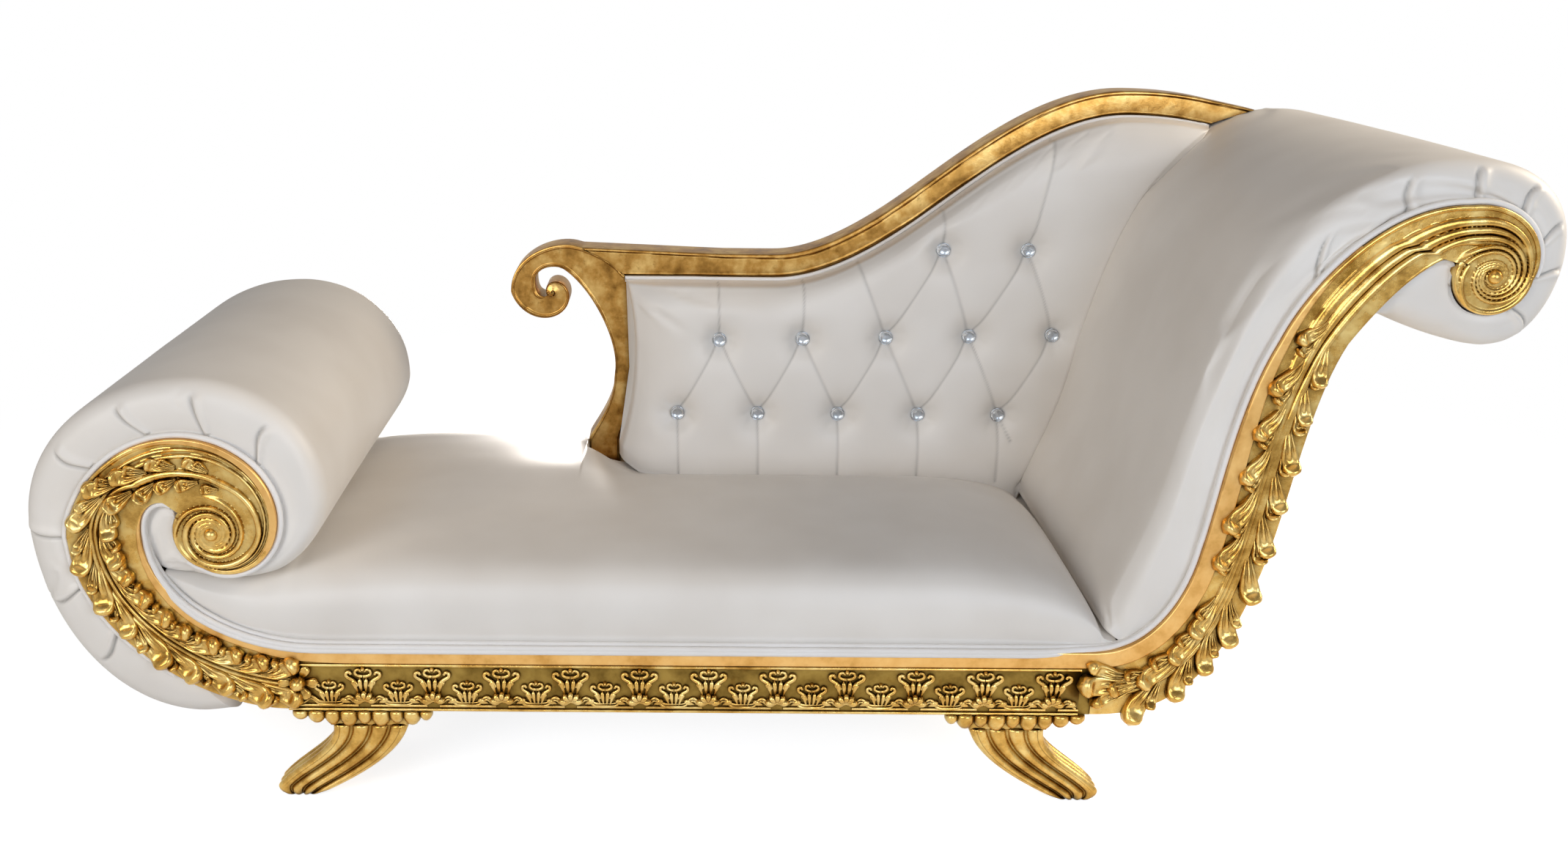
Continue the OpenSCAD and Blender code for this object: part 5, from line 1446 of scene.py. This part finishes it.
def rail_heights(along, from_seat, from_out):
    lift = 0.6 * np.sin(np.pi * from_seat / (from_seat + from_out)) + 1.4 * ridge(from_seat, 5, 1.3)
    lift += 2.6 * (1 - eased(from_out, 7, 9)) - 1.2 * ridge(from_out, 10.2, 1.2)
    return lift + edge_round(from_out, 5) + edge_round(from_seat, 1.5)


rail_over = np.concatenate([[arm_shoulder], beside(rail_under, back_rail_w)[3:],
                            [on_curve(*rest_rise, 0.9)]])
rail_flat = between(resampled(rail_over, 220), resampled(rail_under, 220), 40)
rail = board("back_rail_moulding", rail_flat, banded(rail_flat, rail_heights), rear_inner,
             rear_face)
enter(rail, gilt_aged, ("back_rail",))

arm_eye = at(arm_x - 118, back_low_z - 30)
arm_r, arm_rate, arm_disc = 74.0, 0.0053, 11.0
arm_left, arm_hollow, arm_lip = arm_eye - at(arm_r, 0), arm_eye + at(-30, 20), arm_eye + at(-14, -9)
arm_bend, arm_foot = arm_hollow + at(50, 21), at(arm_x - 56, seam_z(arm_x) - 2)
arm_cusp_a = 213.0


def arm_edge(a):
    return arm_r * np.exp(-arm_rate * (a - 181))


arm_turn = np.arange(184, arm_cusp_a + 0.5, 2)
arm_outer_line = np.concatenate([
    [(arm_x, rail_top)], arm_side,
    curve(back_corner + at(-3, 3), back_corner + at(-18, 22), arm_shoulder + at(34, -10),
          arm_shoulder, 10),
    curve(arm_shoulder + at(-6, 1.5), arm_shoulder + at(-45, 15), arm_left + at(0, 68), arm_left,
          20),
    arm_eye + arm_edge(arm_turn)[:, None] * turned(arm_turn)])
arm_inner_line = np.concatenate([
    drawn(bends(arm_lip, (-10, 1), ((0, -22), arm_hollow, (0, 17)),
                ((-22, 4), arm_hollow + at(42, 24))), 8, 10),
    curve(arm_bend, arm_bend + at(48, -31), (arm_x + 2, back_low_z - 120),
          (arm_x - 8, back_low_z - 180), 20),
    curve((arm_x - 9, back_low_z - 190), (arm_x - 9, back_low_z - 240),
          (arm_x - 50, back_low_z - 290), arm_foot, 14),
    [(arm_x - 60, rail_top)]])[::-1]
arm_shares = (0, 0.12, 0.45, 0.62, 0.85, 1)


def matched(path, marks, disc_r):
    """Points along a path whose marks fall at the arm's shares, and its last at the cusp's ray."""
    spots = [lengths(path)[np.argmin(np.linalg.norm(path - mark, axis=1))] for mark in marks]
    even = points_at(np.interp(np.linspace(0, 1, 201), arm_shares, spots), path)
    return np.concatenate([even, [arm_eye + disc_r * turned(arm_cusp_a)]])


arm_out = matched(arm_outer_line, [at(arm_x, rail_top), back_left, back_corner, arm_shoulder,
                                   arm_left, arm_outer_line[-1]], arm_edge(arm_cusp_a))
arm_in = matched(arm_inner_line, [at(arm_x - 60, rail_top), arm_foot, at(arm_x - 18, 555), arm_bend,
                                  arm_hollow, arm_lip], arm_disc)


def arm_volute_heights(a, r):
    turn = arm_rate * 360
    v = np.mod(np.log(arm_edge(a) / r), turn)
    lift = 2.2 * (ridge(v, 0.1, 0.05) + ridge(v, turn - 0.12, 0.06))
    return lift + 4 * ridge(r, 0, 9) + edge_round(np.abs(arm_edge(a) - r), 2)


def arm_heights(along, from_seat, from_out):
    return sum(2.0 * ridge(far, 5, 1.5) + edge_round(far, 2) for far in (from_out, from_seat))


scroll("arm_scroll_moulding", (arm_out, arm_in), arm_eye, arm_disc, arm_edge, arm_cusp_a, 541.0,
       328, arm_heights, arm_volute_heights, rear_inner, rear_face, "arm_scroll", gilt_aged)

# Crystal buttons: a cut stone in a chromed cup at each tuft. A profile is (radius, height, share
# of a facet that its ring is turned by).


def turned_shape(name, profile, sides):
    """A shape turned about Y that faces -Y."""
    a = 2 * math.pi * np.arange(sides) / sides
    return loft(name, np.array([np.stack([r * np.cos(a + shift * math.pi / 8), 0 * a - h,
                                          r * np.sin(a + shift * math.pi / 8)], 1)
                                for r, h, shift in profile]))


# A round stone cut with a table, a ring of kites and sixteen girdle facets
stone_r = 11.1
stone = turned_shape("stone_shape", [(stone_r * r, stone_r * h, shift) for r, h, shift in (
    (0.55, 0.58, 0), (0.8, 0.42, 0.5), (1.0, 0.12, 0), (0.98, -0.02, 0.5), (0.5, -0.18, 0))], 16)
stone.data.shade_flat()
stones = strewn("crystal_stones", stone, in_plane(buttons, button_y - 4.0), crystal,
                [(0, 0.35 * k, 0) for k in range(len(buttons))])
stones.data.shade_flat()
enter(stones, crystal, ("crystal_buttons",))
cup = turned_shape("cup_shape", [(r, h, 0) for r, h in (
    (0.5, 0.4), (9, 0.4), (10.6, 1.4), (11.2, 4.6), (12.0, 5.2), (12.6, 4.2), (12.6, 0.4),
    (11.5, -0.4), (0.5, -0.4))], 32)
enter(strewn("button_cup_rings", cup, in_plane(buttons, button_y), chrome), chrome,
      ("button_cups",))

# Every solid that stays gets its own finish
kept_finish = {
    gilt_ground: ("front_rail",),
    gilt: ("rear_rail",),
    pine: ("foot_cross_rail", "head_cross_rail", "foot_middle_rail", "head_middle_rail",
           "corner_blocks", "rail_dowels", "foot_roll_rod", "head_roll_rod", "arm_dowels",
           "back_stile", "back_bottom_rail"),
    plywood: ("seat_deck", "foot_cradle_panel", "foot_end_panel", "head_panel", "back_panel"),
    lining: ("head_outside_cover", "outside_back_cover"),
    steel: ("deck_screws", "leg_bolts"),
    black_cloth: ("dust_cover",),
}
for material, names in kept_finish.items():
    for name in names:
        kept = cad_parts[name].data.materials
        kept.clear()
        kept.append(material)
